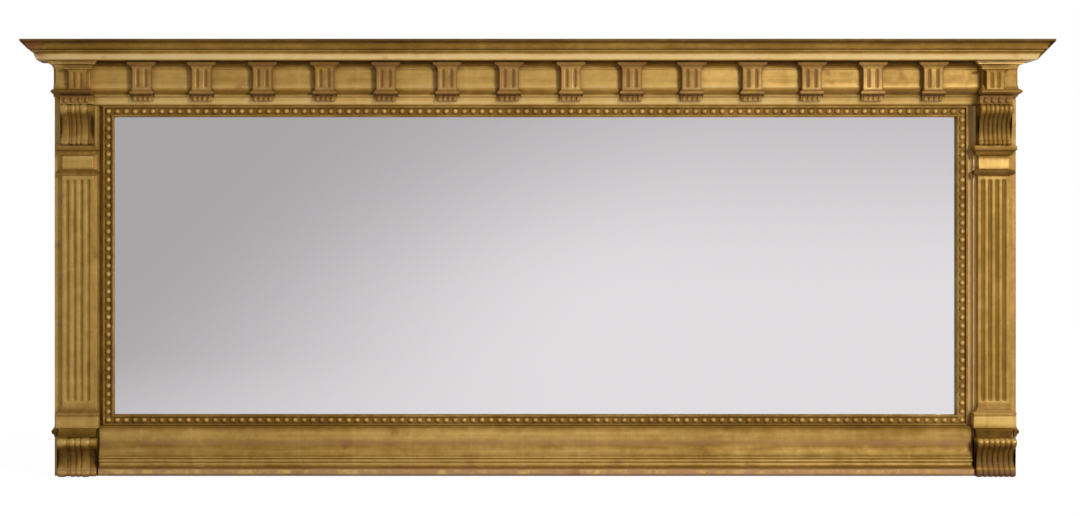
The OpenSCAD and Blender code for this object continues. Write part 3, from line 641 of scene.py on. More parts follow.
# A painted highlight over the whole right stile, and painted shade from x = 0.66 m outwards.
gilt_stile_right = giltwood(
    "giltwood_stile_right", PAINTED_BRIGHT, 0.45, Z_RUN, sunk=0.0, corner_dirt_and_shade=0.0, across=(0.66, 0.69, 1.4)
)
gilt_left = giltwood("giltwood_left", ON_LEFT, 0.6, Z_RUN, blush=BLUSH_LEFT, sunk=0.5, corner_dirt_and_shade=0.3)
gilt_right = giltwood("giltwood_right", ON_RIGHT, 0.5, Z_RUN, blush=BLUSH_RIGHT, sunk=0.5, corner_dirt_and_shade=0.3)
gilt_foot = giltwood(
    "giltwood_foot_rail", ON_FOOT_RAIL, 0.6, X_RUN, blush=BLUSH_RAIL, across=(0.25, 0.62, 0.25)
)
gilt_blocks = giltwood("giltwood_blocks", ON_BLOCKS, 0.6, Z_RUN, blush=BLUSH_BLOCKS, sunk=0.75, corner_dirt_and_shade=0.3)
gilt_beads = giltwood("giltwood_beads", PLAIN, 0.6, X_RUN, sunk=0.95, corner_dirt_and_shade=0.35)
HANDS = (("left", -1, gilt_left), ("right", 1, gilt_right))
print("gildings:", len([m for m in bpy.data.materials if m.name.startswith("giltwood_")]))

# %% [markdown]
# ## Old pine, board, silvering and steel
# The back is plain carpentry that nobody gilded: pine gone brown, thinner boards behind the glass, and steel
# hangers with a dull rust. The rails and boards lie along X, and so does their grain. The glass is a mirror,
# so its finish is almost nothing: bright metal with no roughness to speak of, greyer only in its last
# millimetres, and backed with red paint.

# %% Bare wood
def bare_wood(name, pale, dark, board=0.0):
    """Wood with its grain along X. board is the width of the planks in metres, or 0 for one piece."""
    paint = Paint(name)
    place = paint.place()
    warped = paint.stretched(place, (3.0, 55.0, 55.0))
    figure = paint.noise(warped, 1.0, 5.0, 0.6)
    bands = {"wave_type": "BANDS", "bands_direction": "Z"}
    sockets = {"Vector": warped, "Scale": 1.1, "Distortion": 9.0, "Detail": 2.0}
    rings = paint.node("ShaderNodeTexWave", bands, sockets, out="Fac")
    pores = paint.noise(paint.stretched(place, (25.0, 900.0, 900.0)), 1.0, 2.0)
    stain = paint.noise(place, 5.0, 4.0, 0.6)
    shade = (figure * 0.45 + rings * 0.25 + pores * 0.2 + stain * 0.5 - 0.25).clamped()
    wood = paint.mix(dark, pale, shade)
    wood = paint.mix(wood, DUST, stain.between(0.55, 0.8) * 0.5)
    # Closed corners are painted darker with umber: painted shade.
    wood = paint.mix(wood, UMBER, (1 - paint.open_air(0.012).between(0.3, 0.9)) * 0.7)
    relief = figure * 0.4 + pores * 0.35
    if board:
        seam = ((paint.parts(place)[2] * (1 / board)).fraction() - 0.5).size().between(0.491, 0.498)
        wood = paint.mix(wood, UMBER, seam * 0.8)
        relief = relief - seam
    bump = paint.bump(relief, 0.5, 0.0007, Normal=paint.eased(0.0008))
    return paint.finished({"Base Color": wood, "Roughness": figure * 0.2 + 0.62, "Normal": bump})


BOARD_PALE = colour(0.30, 0.175, 0.085)
BOARD_DARK = colour(0.12, 0.06, 0.026)
PLANK_W = 0.1187
pine_across = bare_wood("pine_across", PINE_PALE, PINE_DARK)
back_board = bare_wood("backboard_wood", BOARD_PALE, BOARD_DARK, PLANK_W)
print("two bare woods, and planks of", PLANK_W, "m")


# %% Mirror, steel and screws
SILVER = colour(0.94, 0.94, 0.94)
SILVER_TIRED = colour(0.42, 0.40, 0.36)
BACKING_RED = colour(0.16, 0.07, 0.045)
RUST = colour(0.16, 0.065, 0.028)


def silvering():
    paint = Paint("mirror_silver")
    place = paint.place()
    x, y, z = paint.parts(place)
    half_w = (PLATE.x1 - PLATE.x0) / 2 * MM
    middle_z = (PLATE.z0 + PLATE.z1) / 2 * MM
    half_h = (PLATE.z1 - PLATE.z0) / 2 * MM
    to_edge = (half_w - x.size()).least(half_h - (z - middle_z).size())
    tired = (1 - (to_edge - paint.noise(place, 38.0, 4.0, 0.6) * 0.006).between(0.001, 0.006)) * 0.5
    behind = y.between(back_y - 0.0145, back_y - 0.0135)
    glass = paint.mix(SILVER, SILVER_TIRED, tired)
    tint = paint.mix(glass, BACKING_RED, behind)
    sockets = {"Base Color": tint, "Metallic": 1 - behind, "Roughness": tired * 0.25 + behind * 0.5 + 0.012}
    return paint.finished(sockets)


def old_steel(name, bright, rust):
    """rust is how far it has spread, from 0 to 1."""
    paint = Paint(name)
    place = paint.place()
    spread = paint.noise(place, 120.0, 5.0, 0.65)
    fine = paint.noise(place, 900.0, 2.0)
    rusty = spread.between(0.62 - rust * 0.3, 0.78 - rust * 0.3)
    sockets = {"Base Color": paint.mix(bright, RUST, rusty * 0.8), "Metallic": 1 - rusty * 0.8}
    sockets["Roughness"] = spread * 0.3 + rusty * 0.25 + 0.22
    sockets["Normal"] = paint.bump(fine * 0.5 + rusty, 0.35, 0.0002)
    return paint.finished(sockets)


mirror_silver = silvering()
hanger_steel = old_steel("hanger_steel", colour(0.36, 0.35, 0.33), 0.6)
screw_steel = old_steel("screw_steel", colour(0.44, 0.42, 0.38), 0.35)
print("mirror and steel finished")

# %% [markdown]
# ## Building solids
# Nearly every carved piece is a stack of closed outlines with a flat face at each end. A moulding is its
# section carried along a line. A collar, a fluted block and a scroll console are outlines that wrap the front
# and two sides and close behind. `Piece` takes several such stacks for one piece. Its normals are worked out
# again at the end, so a mirrored piece isn't inside out.

# %% Curves and softened arrises
def quarter(a, b, steps=7):
    """A quarter of an ellipse that leaves a upright and reaches b level."""
    (ax, ay), (bx, by) = a, b
    return [(bx - (bx - ax) * math.cos(t), ay + (by - ay) * math.sin(t)) for t in quarter_turn(steps)]


def quarter_back(a, b, steps=7):
    return quarter(a, b, steps)[::-1]


def arc(centre, r, start, end, steps=10):
    turn = [math.radians(start + (end - start) * i / steps) for i in range(steps + 1)]
    return [(centre[0] + r * math.cos(t), centre[1] + r * math.sin(t)) for t in turn]


def bend(a, b, c, d, steps=12):
    """A cubic curve from a to d, pulled towards b and c, without its two ends."""
    a, b, c, d = (Vector(p) for p in (a, b, c, d))
    made = []
    for t in [i / steps for i in range(1, steps)]:
        rest = 1 - t
        made.append(tuple(rest**3 * a + 3 * rest**2 * t * b + 3 * rest * t * t * c + t**3 * d))
    return made


SAME_PLACE = 1e-4
LEAST_TURN = math.radians(25)
MOST_OF_A_FLAT = 0.36
HOLD = 1.35


def soften(points, radius, closed=False, steps=3):
    """Rounds each corner that turns by LEAST_TURN or more, with a point on each side to hold the flats."""
    points = [Vector(p) for p in points]
    points = [p for i, p in enumerate(points) if i == 0 or (p - points[i - 1]).length > SAME_PLACE]
    if closed and (points[0] - points[-1]).length <= SAME_PLACE:
        points.pop()
    count = len(points)
    made = []
    for i, p in enumerate(points):
        if not closed and i in (0, count - 1):
            made.append(p)
            continue
        before, after = points[i - 1] - p, points[(i + 1) % count] - p
        turn = math.pi - before.angle(after)
        if turn < LEAST_TURN:
            made.append(p)
            continue
        shorter = MOST_OF_A_FLAT * before.length, MOST_OF_A_FLAT * after.length
        reach = min(radius * math.tan(turn / 2), *shorter)
        start, end = p + before.normalized() * reach, p + after.normalized() * reach
        made.append(p + before.normalized() * reach * HOLD)
        for k in range(steps + 1):
            t = k / steps
            made.append((1 - t) ** 2 * start + 2 * t * (1 - t) * p + t * t * end)
        made.append(p + after.normalized() * reach * HOLD)
    return [tuple(p) for p in made]


def hand(x, phase):
    """The unevenness of a moulding planed by hand: up to 0.2 mm, always inwards."""
    return 0.1 * (1 + 0.6 * math.sin(x / 41 + phase) + 0.4 * math.sin(x / 17.3 + 2.1 * phase))


print("a softened square corner has", len(soften([(0, 1), (0, 0), (1, 0)], 0.2)) - 2, "points")

# %% Pieces
CREASE = math.radians(38)


class Piece:
    """One visible piece under construction, in metres."""

    def __init__(self, name):
        self.name = name
        self.bm = bmesh.new()
        self.valley = self.bm.verts.layers.float.new("valley")

    def add(self, grid, loop=False, valley=None):
        """A grid of points as a closed solid: the last column joins the first, and with loop the last row
        the first. valley is a grid too: how deep in the carving each point lies, from 0 to 1."""
        rows, columns = len(grid), len(grid[0])
        verts = [[self.bm.verts.new(point) for point in row] for row in grid]
        for i in range(rows if valley else 0):
            for j in range(columns):
                verts[i][j][self.valley] = valley[i][j]
        for i in range(rows if loop else rows - 1):
            for j in range(columns):
                near, far = verts[i], verts[(i + 1) % rows]
                self.bm.faces.new((near[j], near[(j + 1) % columns], far[(j + 1) % columns], far[j]))
        if not loop:
            self.bm.faces.new(verts[0])
            self.bm.faces.new(verts[-1])

    def mesh(self):
        big = [f for f in self.bm.faces if len(f.verts) > 4]
        bmesh.ops.triangulate(self.bm, faces=big)
        bmesh.ops.recalc_face_normals(self.bm, faces=self.bm.faces)
        made = bpy.data.meshes.new(self.name)
        self.bm.to_mesh(made)
        self.bm.free()
        for face in made.polygons:
            face.use_smooth = True
        made.set_sharp_from_angle(angle=CREASE)
        return made

    def finish(self, material, nodes, body="mirror", slot="giltwood"):
        made = placed(self.name, self.mesh())
        made.data.materials.append(material)
        hang(made, nodes, body)


def hang(made, nodes, body="mirror"):
    """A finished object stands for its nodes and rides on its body."""
    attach(made, body)
    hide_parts(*nodes)
    print(made.name, len(made.data.polygons), "faces")


print("edges that turn more than", round(math.degrees(CREASE)), "degrees stay crisp")

# %% Carrying a section
RUN_PITCH = 14
COLLAR_ARRIS = 0.7


def along(low, high, pitch):
    """Equal steps of about the pitch from low to high, with both ends."""
    steps = max(1, round((high - low) / pitch))
    return [low + (high - low) * i / steps for i in range(steps + 1)]


def run_x(piece, outline, half, phase):
    """A closed section of [depth, height], carried along X. half gives each point's half length, and phase
    where the unevenness of the planing starts."""
    reach = max(half(d) for d, z in outline)
    grid = []
    for x in along(-reach, reach, RUN_PITCH):
        share, back, down = x / reach, hand(x, phase), hand(x, phase + 1) * 0.3
        grid.append([at(share * half(d), d - back, z - down) for d, z in outline])
    piece.add(grid)


def run_back(piece, edge, face, side, ends, foot=0.0):
    """An edge carried back along the side of the body. ends gives the depth at which each point stops."""
    outline = list(edge) + [(-foot, edge[-1][1]), (-foot, edge[0][1])]
    grid = [
        [at(side * (face + out), t * ends(out), z) for out, z in outline]
        for t in (0, 0.25, 0.5, 0.75, 1)
    ]
    piece.add(grid)


def pier_return(edge):
    """The edge round a pier as it shows from the side of the body, which stands a little beyond the pier."""
    return [(max(out - pier_in, 0.5), z) for out, z in edge]


def collar(piece, edge, x0, x1, d0, face, side, aside=1.0, forward=1.0):
    """An edge of [projection, height] carried round the left side, the front and the right side. aside and
    forward are how far it stands out at the sides and in front, as shares of the projection."""
    grid = []
    for out, z in edge:
        left, right, front = x0 - out * aside, x1 + out * aside, face + out * forward
        plan = [(left, d0), (left, front), (right, front), (right, d0)]
        grid.append([at(side * x, d, z) for x, d in soften(plan, COLLAR_ARRIS, steps=4)])
    piece.add(grid)


print("solid builders ready")

# %% [markdown]
# ## The cornice
# A cornice is a flat corona with a bead, a hollow and a fillet over it, run in one length and mitred at
# both corners into two short returns. The section is a list of points with round stretches worked out, and
# every arris is softened, because gesso never leaves a hard edge. Each point of the front run ends where
# its own depth meets the mitre, which is all that a mitre is.

# %% Cornice
def cornice_edge():
    soffit, top = CORNICE.z0, CORNICE.z1
    bead = (27, soffit + 13)
    return (
        [(20.8, soffit), (24.6, soffit + 9.8), (25.2, bead[1] - 2.6), (27, bead[1] - 1.7)]
        + arc(bead, 1.7, -90, 90, 8)
        + [(30.5, bead[1] + 1.7), (30.5, soffit + 15)]
        + quarter((32.5, soffit + 15), (39.5, top - 3.2))
        + [(CORNICE.x1 - body_x, top - 3.2), (CORNICE.x1 - body_x, top)]
    )


pier_d = PIER.d1
edge = cornice_edge()
face_run = [(pier_d + out, z) for out, z in edge] + [(FRIEZE.d1, CORNICE.z1), (FRIEZE.d1, CORNICE.z0)]
piece = Piece("gilt_cornice_front")
run_x(piece, soften(face_run, 0.6, closed=True), lambda d: body_x + max(0, d - pier_d), 0.4)
piece.finish(gilt_cornice, ["cornice_front"])

for name, side, finish in (("left", -1, gilt_cornice_left), ("right", 1, gilt_cornice_right)):
    piece = Piece(f"gilt_cornice_{name}_return")
    run_back(piece, soften(edge, 0.6), body_x, side, lambda out: pier_d + out)
    piece.finish(finish, [f"cornice_{name}_return"])

# %% [markdown]
# ## Mouldings of the frieze
# Under the cornice a small bed moulding runs along the frieze and breaks forward round each corner pier.
# Below the frieze the taenia does the same in short lengths between the blocks. The long lengths are
# sections run along X, and the breaks round the piers are collars with a return along the frame's side.

# %% Bed moulding and pier caps
bed_z, soffit_z = span("bed_moulding").z0, CORNICE.z0
bed_edge = (
    [(1.5, bed_z), (1.5, bed_z + 2)]
    + quarter((2, bed_z + 2), (7.5, bed_z + 6.5))
    + [(8.5, bed_z + 6.5), (8.5, bed_z + 8)]
    + quarter((8.5, bed_z + 8), (10.5, bed_z + 9.5), 4)
    + [(10.5, soffit_z)]
)
frieze_d, pier_x = FRIEZE.d1, PIER.x0
soft_bed = soften(bed_edge, 0.4)

piece = Piece("gilt_bed_moulding")
bed_run = [(frieze_d + out, z) for out, z in soft_bed] + [(frieze_d - 1, soffit_z), (frieze_d - 1, bed_z)]
run_x(piece, bed_run, lambda d: pier_x - 0.5, 1.7)
piece.finish(gilt_runs, ["bed_moulding"])

for name, side, finish in HANDS:
    piece = Piece(f"gilt_{name}_pier_cap")
    collar(piece, soft_bed, pier_x, pier_side, frieze_d, pier_d, side)
    run_back(piece, pier_return(soft_bed), body_x, side, lambda out: frieze_d)
    piece.finish(finish, [f"{name}_pier_cap"])

# %% Taenia between the blocks and round the piers
taenia_z, taenia_top = TAENIA.z0, PIER.z0
low, high = (0.8, taenia_z), (0.8, taenia_top - 3)
taenia_edge = [low] + bend(low, (4.8, taenia_z + 1), (5.6, taenia_z + 8), high)
taenia_edge += [high, (0.5, taenia_top - 0.5)]
pier_edge = soften(
    [(1, taenia_z)]
    + quarter((1, taenia_z + 0.5), (3, taenia_z + 3), 5)
    + arc((2.2, taenia_z + 6.5), 2.8, -60, 60, 9)
    + quarter_back((1, taenia_top), (3, taenia_z + 10), 5),
    0.3,
)
TAENIA_FRONT = 3.2
BLOCK_FOOT = 18
BLOCK_WAIST = 14.25


def beside_block(z):
    """Half the width that a block fills at a height of the taenia: its foot, and its waist above that."""
    rise = min(1, max(0, (z - taenia_z - 7.5) / 5))
    return BLOCK_FOOT - (BLOCK_FOOT - BLOCK_WAIST) * rise


piece = Piece("gilt_taenia")
taenia_run = [(frieze_d + out, z) for out, z in taenia_edge]
taenia_run += [(frieze_d - 1, taenia_edge[-1][1]), (frieze_d - 1, taenia_z)]
middles = [-pier_x] + block_xs + [pier_x]
for left, right in zip(middles, middles[1:]):
    grid = []
    for share in along(0, 1, 0.125):
        row = []
        for d, z in taenia_run:
            start = left + beside_block(z) * (left in block_xs)
            end = right - beside_block(z) * (right in block_xs)
            x = start + (end - start) * share
            row.append(at(x, d - hand(x, 2.6), z))
        grid.append(row)
    piece.add(grid)
piece.finish(gilt_runs, ["taenia_moulding"])

for name, side, finish in HANDS:
    piece = Piece(f"gilt_{name}_pier_taenia")
    collar(piece, pier_edge, pier_x, pier_side, frieze_d, pier_d, side, forward=TAENIA_FRONT)
    run_back(piece, pier_return(pier_edge), body_x, side, lambda out: frieze_d)
    piece.finish(finish, [f"{name}_pier_taenia"])

# %% Architrave, pier blocks and the face of the frieze
ARCHITRAVE = span("architrave_board")
ARCHITRAVE_LEAN = 3.5
piece = Piece("gilt_architrave")
band = [
    (frame_t, ARCHITRAVE.z0), (ARCHITRAVE.d1 - 1.5, ARCHITRAVE.z0), (ARCHITRAVE.d1, ARCHITRAVE.z0 + 2.5),
    (ARCHITRAVE.d1 + ARCHITRAVE_LEAN, ARCHITRAVE.z1), (frame_t, ARCHITRAVE.z1),
]
run_x(piece, soften(band, 0.5, closed=True), lambda d: ARCHITRAVE.x1, 3.3)
piece.finish(gilt_runs, ["architrave_board"])

for name, side in (("left", -1), ("right", 1)):
    piece = Piece(f"gilt_{name}_pier_block")
    collar(piece, [(0, PIER.z0), (0, PIER.z1)], pier_x, pier_side, frieze_d, pier_d, side)
    piece.finish(gilt_runs, [f"{name}_pier_block"])

# %% [markdown]
# ## Fluted fronts
# The frieze blocks, the blocks on the piers and the pilaster shafts are one idea: an upright with softened
# corners and round-ended flutes sunk in its face. The sheet is a stack of plan outlines. Rows crowd together
# near the ends of the flutes and points crowd at their lips, where the shape turns quickly.

# %% A fluted sheet
Flutes = namedtuple("Flutes", "centres radius sunk foot top")
FLUTE_END = (0, 20, 35, 50, 62, 74, 84, 90)


def flute_depth(flutes, x, z):
    """How deep the face is cut at x, z. Each flute is a cylinder with a ball at each end."""
    beyond = max(0, flutes.foot - z, z - flutes.top)
    near = min(abs(x - c) for c in flutes.centres)
    inside = flutes.radius**2 - near**2 - beyond**2
    return max(0, math.sqrt(max(0, inside)) - flutes.sunk)


def flute_rows(flutes, coarse):
    """Heights that catch the round ends of the flutes."""
    r = flutes.radius
    ends = [r * (1 - math.cos(math.radians(a))) for a in FLUTE_END]
    low = [flutes.foot - r + e for e in ends]
    high = [flutes.top + r - e for e in reversed(ends)]
    return low + along(flutes.foot, flutes.top, coarse)[1:-1] + high


def fluted_sheet(piece, x, face, rows, flutes, side=1, arris=0.0):
    """rows are (height, half width, depth), from the foot up. arris is how dark its two edges are painted, as
    painted shade along them.
    """
    r = flutes.radius
    across = sorted(c + r * math.sin(math.radians(a)) for c in flutes.centres for a in range(-90, 91, 18))
    deepest = r - flutes.sunk
    grid, valley = [], []
    for z, half, depth in rows:
        corner = soften([(-half, face), (-half, depth), (0, depth)], 0.6, steps=3)[:-1]
        cuts = [flute_depth(flutes, c, z) for c in across]
        front = [(c, depth - cut) for c, cut in zip(across, cuts)]
        shoulder, mirrored_corner = half - 1.5, [(-a, d) for a, d in reversed(corner)]
        plan = corner + [(-shoulder, depth)] + front + [(shoulder, depth)] + mirrored_corner
        grid.append([at(side * (x + a), d, z) for a, d in plan])
        edge = [arris] * len(corner)
        # The valley value paints the flutes and the two edges darker: painted shade, with glaze in the
        # flutes.
        valley.append(edge + [0.0] + [min(1.0, 1.3 * cut / deepest) for cut in cuts] + [0.0] + edge)
    piece.add(grid, valley=valley)


def spread(rows, heights):
    """Adds a row at each height, between the rows that are already there."""
    made = [rows[0]]
    for low, high in zip(rows, rows[1:]):
        for z in heights:
            if low[0] + 1e-6 < z < high[0] - 1e-6:
                share = (z - low[0]) / (high[0] - low[0])
                made.append(tuple(a + (b - a) * share for a, b in zip(low, high)))
        made.append(high)
    return made


print("rows in the round end of a flute:", len(FLUTE_END))

# %% Frieze blocks
FLUTE_IN = 12.5
BLOCK_FLUTE_R = 4.3
BLOCK_FLUTE_SUNK = 3.2
BLOCK_CAP = 21.5
BLOCK_OUT = 11
DROP_PLACES = (-1.5, -0.5, 0.5, 1.5)
BLOCK_DROP_PITCH = 7.3
BLOCK_DROP_R = 3


def block_rows(z0, z1, face, out):
    """A block's foot, hollow, waist, flare and cap, as (height, half width, depth)."""
    waist, cap = BLOCK_WAIST, BLOCK_CAP
    turns = quarter_turn(6)
    foot = BLOCK_FOOT - 1
    rows = [(z0, BLOCK_FOOT - 2, out - 2), (z0 + 1.5, BLOCK_FOOT, out + 3), (z0 + 5, BLOCK_FOOT, out + 3)]
    for t in reversed(turns):
        share = math.cos(t)
        rows.append((z0 + 10 - 4.5 * math.sin(t), foot - (foot - waist) * share, out + 2.5 - 2.5 * share))
    for t in turns:
        share = math.cos(t)
        rows.append((z1 - 12 + 7 * math.sin(t), cap - 1.5 - (cap - 1.5 - waist) * share, out + 3 - 3 * share))
    rows += [(z1 - 3.5, cap - 1.5, out + 3), (z1 - 3.45, cap, out + 4.5), (z1, cap, out + 4.5)]
    return [tuple(row) for row in soften([(z, half, face + d) for z, half, d in rows], 0.35)]


def block_flutes(z0, z1):
    return Flutes((-6, 6), BLOCK_FLUTE_R, BLOCK_FLUTE_SUNK, z0 + FLUTE_IN, z1 - FLUTE_IN)


def full_turn(count):
    """Equal turns all the way round."""
    return [2 * math.pi * k / count for k in range(count)]


def drop(piece, x, depth, z0, height, r, side=1):
    """A small turned drop: wide and rounded below, narrow above."""
    outline = [(0.35 * r, 0.0), (0.8 * r, 0.06), (r, 0.2), (0.95 * r, 0.4), (0.6 * r, 1.0)]
    grid = [
        [at(side * (x + s * math.cos(t)), depth + s * math.sin(t), z0 + h * height) for t in full_turn(14)]
        for s, h in outline
    ]
    piece.add(grid)


def plain_box(piece, x0, x1, d0, d1, z0, z1, side=1, radius=0.5):
    """A box with softened upright arrises."""
    plan = soften([(x0, d0), (x1, d0), (x1, d1), (x0, d1)], radius, closed=True)
    piece.add([[at(side * x, d, z) for x, d in plan] for z in (z0, z0 + 0.4, z1 - 0.4, z1)])


FIRST = span("triglyph_01")
block_z0, block_z1 = taenia_z + 2.5, FIRST.z1
flutes = block_flutes(block_z0, block_z1)
rows = spread(block_rows(block_z0, block_z1, frieze_d, BLOCK_OUT), flute_rows(flutes, 5))
piece = Piece("block_pattern")
fluted_sheet(piece, 0, frieze_d, rows, flutes, arris=0.9)
plain_box(piece, -15, 15, frieze_d - 4.5, frieze_d + 5, FIRST.z0, block_z0)
for k in DROP_PLACES:
    drop(piece, k * BLOCK_DROP_PITCH, frieze_d + 5, FIRST.z0, taenia_z - FIRST.z0 + 1, BLOCK_DROP_R)
block_mesh = piece.mesh()
print("one block has", len(block_mesh.polygons), "faces")

# %% [markdown]
# ## The row of blocks with Geometry Nodes
# Fourteen equal blocks are one pattern, and so are the beads of the slip and the screws. One function builds
# the tree for all of them, and it sets a pattern out on a line or on points. Random turns, shifts and sizes
# can make the copies look hand-set. A random tone is stored while they are still instances, so each copy
# keeps one value, and it reaches the gilding as an attribute. The tree has named inputs, and they are set by
# the socket's identifier, which stays the same when a name changes.

# %% A pattern set out on a line or on points
def set_out_tree(name, on_line):
    """Sets a pattern out along a line of Count points, or on the points that come in."""
    tree = bpy.data.node_groups.new(name, "GeometryNodeTree")
    face = tree.interface
    face.new_socket("Geometry", in_out="INPUT", socket_type="NodeSocketGeometry")
    kinds = {
        "Pattern": "NodeSocketObject", "Count": "NodeSocketInt", "Start": "NodeSocketVector",
        "End": "NodeSocketVector", "Turn": "NodeSocketVector", "Scatter": "NodeSocketVector",
        "Smallest": "NodeSocketFloat", "Seed": "NodeSocketInt", "Finish": "NodeSocketMaterial",
    }
    for label, kind in kinds.items():
        face.new_socket(label, in_out="INPUT", socket_type=kind)
    face.new_socket("Geometry", in_out="OUTPUT", socket_type="NodeSocketGeometry")
    graph = Graph(tree)
    given = tree.nodes.new("NodeGroupInput")
    take = {label: Wire(graph, given.outputs[label]) for label in ["Geometry", *kinds]}

    if on_line:
        sockets = {"Count": take["Count"], "Start Location": take["Start"], "Offset": take["End"]}
        points = graph.node("GeometryNodeMeshLine", {"mode": "END_POINTS"}, sockets)
    else:
        points = take["Geometry"]

    def scatter(amount, step):
        """A random vector within amount either way for each copy."""
        seed = take["Seed"] + step
        none = graph.node("ShaderNodeVectorMath", {"operation": "SCALE"}, {0: amount, "Scale": -1.0})
        sockets = {0: none, 1: amount, "Seed": seed}
        return graph.node("FunctionNodeRandomValue", {"data_type": "FLOAT_VECTOR"}, sockets)

    def one_random(least, step):
        """A random number from least to 1 for each copy."""
        sockets = {2: least, 3: 1.0, "Seed": take["Seed"] + step}
        return graph.node("FunctionNodeRandomValue", {"data_type": "FLOAT"}, sockets, out=1)

    shift = scatter(take["Scatter"], 1)
    points = graph.node("GeometryNodeSetPosition", None, {"Geometry": points, "Offset": shift})
    size = one_random(take["Smallest"], 2)
    source = graph.node("GeometryNodeObjectInfo", None, {"Object": take["Pattern"]}, out="Geometry")
    sockets = {"Points": points, "Instance": source, "Rotation": scatter(take["Turn"], 3), "Scale": size}
    copies = graph.node("GeometryNodeInstanceOnPoints", None, sockets)
    sockets = {"Geometry": copies, "Name": "tone", "Value": one_random(-1.0, 4)}
    stored = {"data_type": "FLOAT", "domain": "INSTANCE"}
    copies = graph.node("GeometryNodeStoreNamedAttribute", stored, sockets)
    result = graph.node("GeometryNodeRealizeInstances", None, {"Geometry": copies})
    if on_line:
        joined = tree.nodes.new("GeometryNodeJoinGeometry")
        for wire in (take["Geometry"], result):
            tree.links.new(wire.socket, joined.inputs[0])
        both = Wire(graph, joined.outputs[0])
        result = graph.node("GeometryNodeRealizeInstances", None, {"Geometry": both})
    result = graph.node("GeometryNodeSetMaterial", None, {"Geometry": result, "Material": take["Finish"]})
    graph.node("NodeGroupOutput", None, {0: result})
    return tree


line_tree = set_out_tree("pattern_on_a_line", True)
point_tree = set_out_tree("pattern_on_points", False)
print("two trees with", len(point_tree.nodes), "and", len(line_tree.nodes), "nodes")


# %% Running a tree
STILL = dict(Scatter=(0.0, 0.0, 0.0), Smallest=1.0)


def set_out(base, tree, pattern_mesh, finish, **values):
    """Runs a tree on an object and keeps the result as that object's plain mesh."""
    pattern = placed("pattern", pattern_mesh)
    modifier = base.modifiers.new("set_out", "NODES")
    modifier.node_group = tree
    values.update(Pattern=pattern, Finish=finish)
    for item in tree.interface.items_tree:
        if item.in_out == "INPUT" and item.name in values:
            modifier[item.identifier] = values[item.name]
    bpy.context.view_layer.update()
    evaluated = base.evaluated_get(bpy.context.evaluated_depsgraph_get())
    made = bpy.data.meshes.new_from_object(evaluated)
    base.modifiers.remove(modifier)
    base.data = made
    bpy.data.objects.remove(pattern)
    return base


def blank(name, points):
    """An object whose mesh has only these points, which a tree replaces with its copies."""
    mesh = bpy.data.meshes.new(name)
    mesh.from_pydata(list(points), [], [])
    return placed(name, mesh)


inputs = [item for item in point_tree.interface.items_tree if item.in_out == "INPUT"]
print("socket of each input:", {item.name: item.identifier for item in inputs})

# %% The fourteen blocks
# The pattern was modelled where a block in the middle would stand, so each point only moves it along X. The
# blocks were set by eye, and the points stand where the construction has them.
block_points = [(x * MM, 0.0, 0.0) for x in block_xs]
frieze_row = set_out(
    blank("gilt_frieze_blocks", block_points), point_tree, block_mesh, gilt_blocks,
    Turn=(0.0, 0.0, 0.0), Seed=7, **STILL,
)
hang(frieze_row, [f"triglyph_{i:02d}" for i in range(1, block_count + 1)])

# %% Blocks on the corner piers
# These have no foot: three ribs and two flutes rise from the pier's piece of taenia to a small flared cap.
PIER_BLOCK = span("right_pier_triglyph")


def pier_block_rows(z0, z1, face):
    """A waist, a flare and a cap, as (height, half width, depth)."""
    waist, cap, out, flare, cap_h = 13, (PIER_BLOCK.x1 - PIER_BLOCK.x0) / 2, 10, 6, 1.5
    rows = [(z0, waist, out)]
    for t in quarter_turn(6):
        height, share = z1 - flare + (flare - cap_h) * math.sin(t), math.cos(t)
        rows.append((height, cap - 1 - (cap - 1 - waist) * share, out + 2.5 * (1 - share)))
    rows += [(z1 - cap_h + 0.05, cap, out + 3.5), (z1, cap, out + 3.5)]
    return [tuple(row) for row in soften([(z, half, face + d) for z, half, d in rows], 0.3)]


pier_middle = (PIER_BLOCK.x0 + PIER_BLOCK.x1) / 2
flutes = Flutes((-4.9, 4.9), BLOCK_FLUTE_R, BLOCK_FLUTE_SUNK, PIER_BLOCK.z0 + 3.5, PIER_BLOCK.z1 - 8)
rows = spread(pier_block_rows(PIER_BLOCK.z0, PIER_BLOCK.z1, pier_d), flute_rows(flutes, 4))
for name, side, finish in HANDS:
    piece = Piece(f"gilt_{name}_pier_triglyph")
    fluted_sheet(piece, pier_middle, pier_d, rows, flutes, side, arris=0.6)
    piece.finish(finish, [f"{name}_pier_triglyph"])

# %% Pilaster shafts
FLUTE_PITCH = 10.3
SHAFT_FLUTE_R = 3.9
SHAFT_FLUTE_SUNK = 2.1
PLAIN_END = 8
shaft_half = (SHAFT.x1 - SHAFT.x0) / 2
flute_xs = [(k - 1.5) * FLUTE_PITCH for k in range(4)]
flutes = Flutes(flute_xs, SHAFT_FLUTE_R, SHAFT_FLUTE_SUNK, SHAFT.z0 + PLAIN_END, SHAFT.z1 - PLAIN_END)
shaft_rows = [(z, shaft_half, SHAFT.d1) for z in (SHAFT.z0, SHAFT.z1)]
rows = spread(shaft_rows, flute_rows(flutes, 11))
for name, side, finish in HANDS:
    piece = Piece(f"gilt_{name}_pilaster_shaft")
    wavy = [(z, half, depth - hand(z, 2 + side)) for z, half, depth in rows]
    fluted_sheet(piece, pilaster_x, frame_t, wavy, flutes, side)
    piece.finish(finish, [f"{name}_pilaster_shaft"])

# %% [markdown]
# ## Scroll consoles
# Seen from the side, a console is an S: a large roll above, a hollow waist and a small roll at the foot.
# Seen from the front it is a bundle of reeds that follow that S. So the sheet has one outline for each
# point across: the full outline on the crown of a reed, and a smaller one in the valley between two. The
# left pair has broad uneven reeds and a flat margin, and the right pair fine even ones, as carved by two
# hands.

# %% Reeded scrolls
VALLEY = 1.8


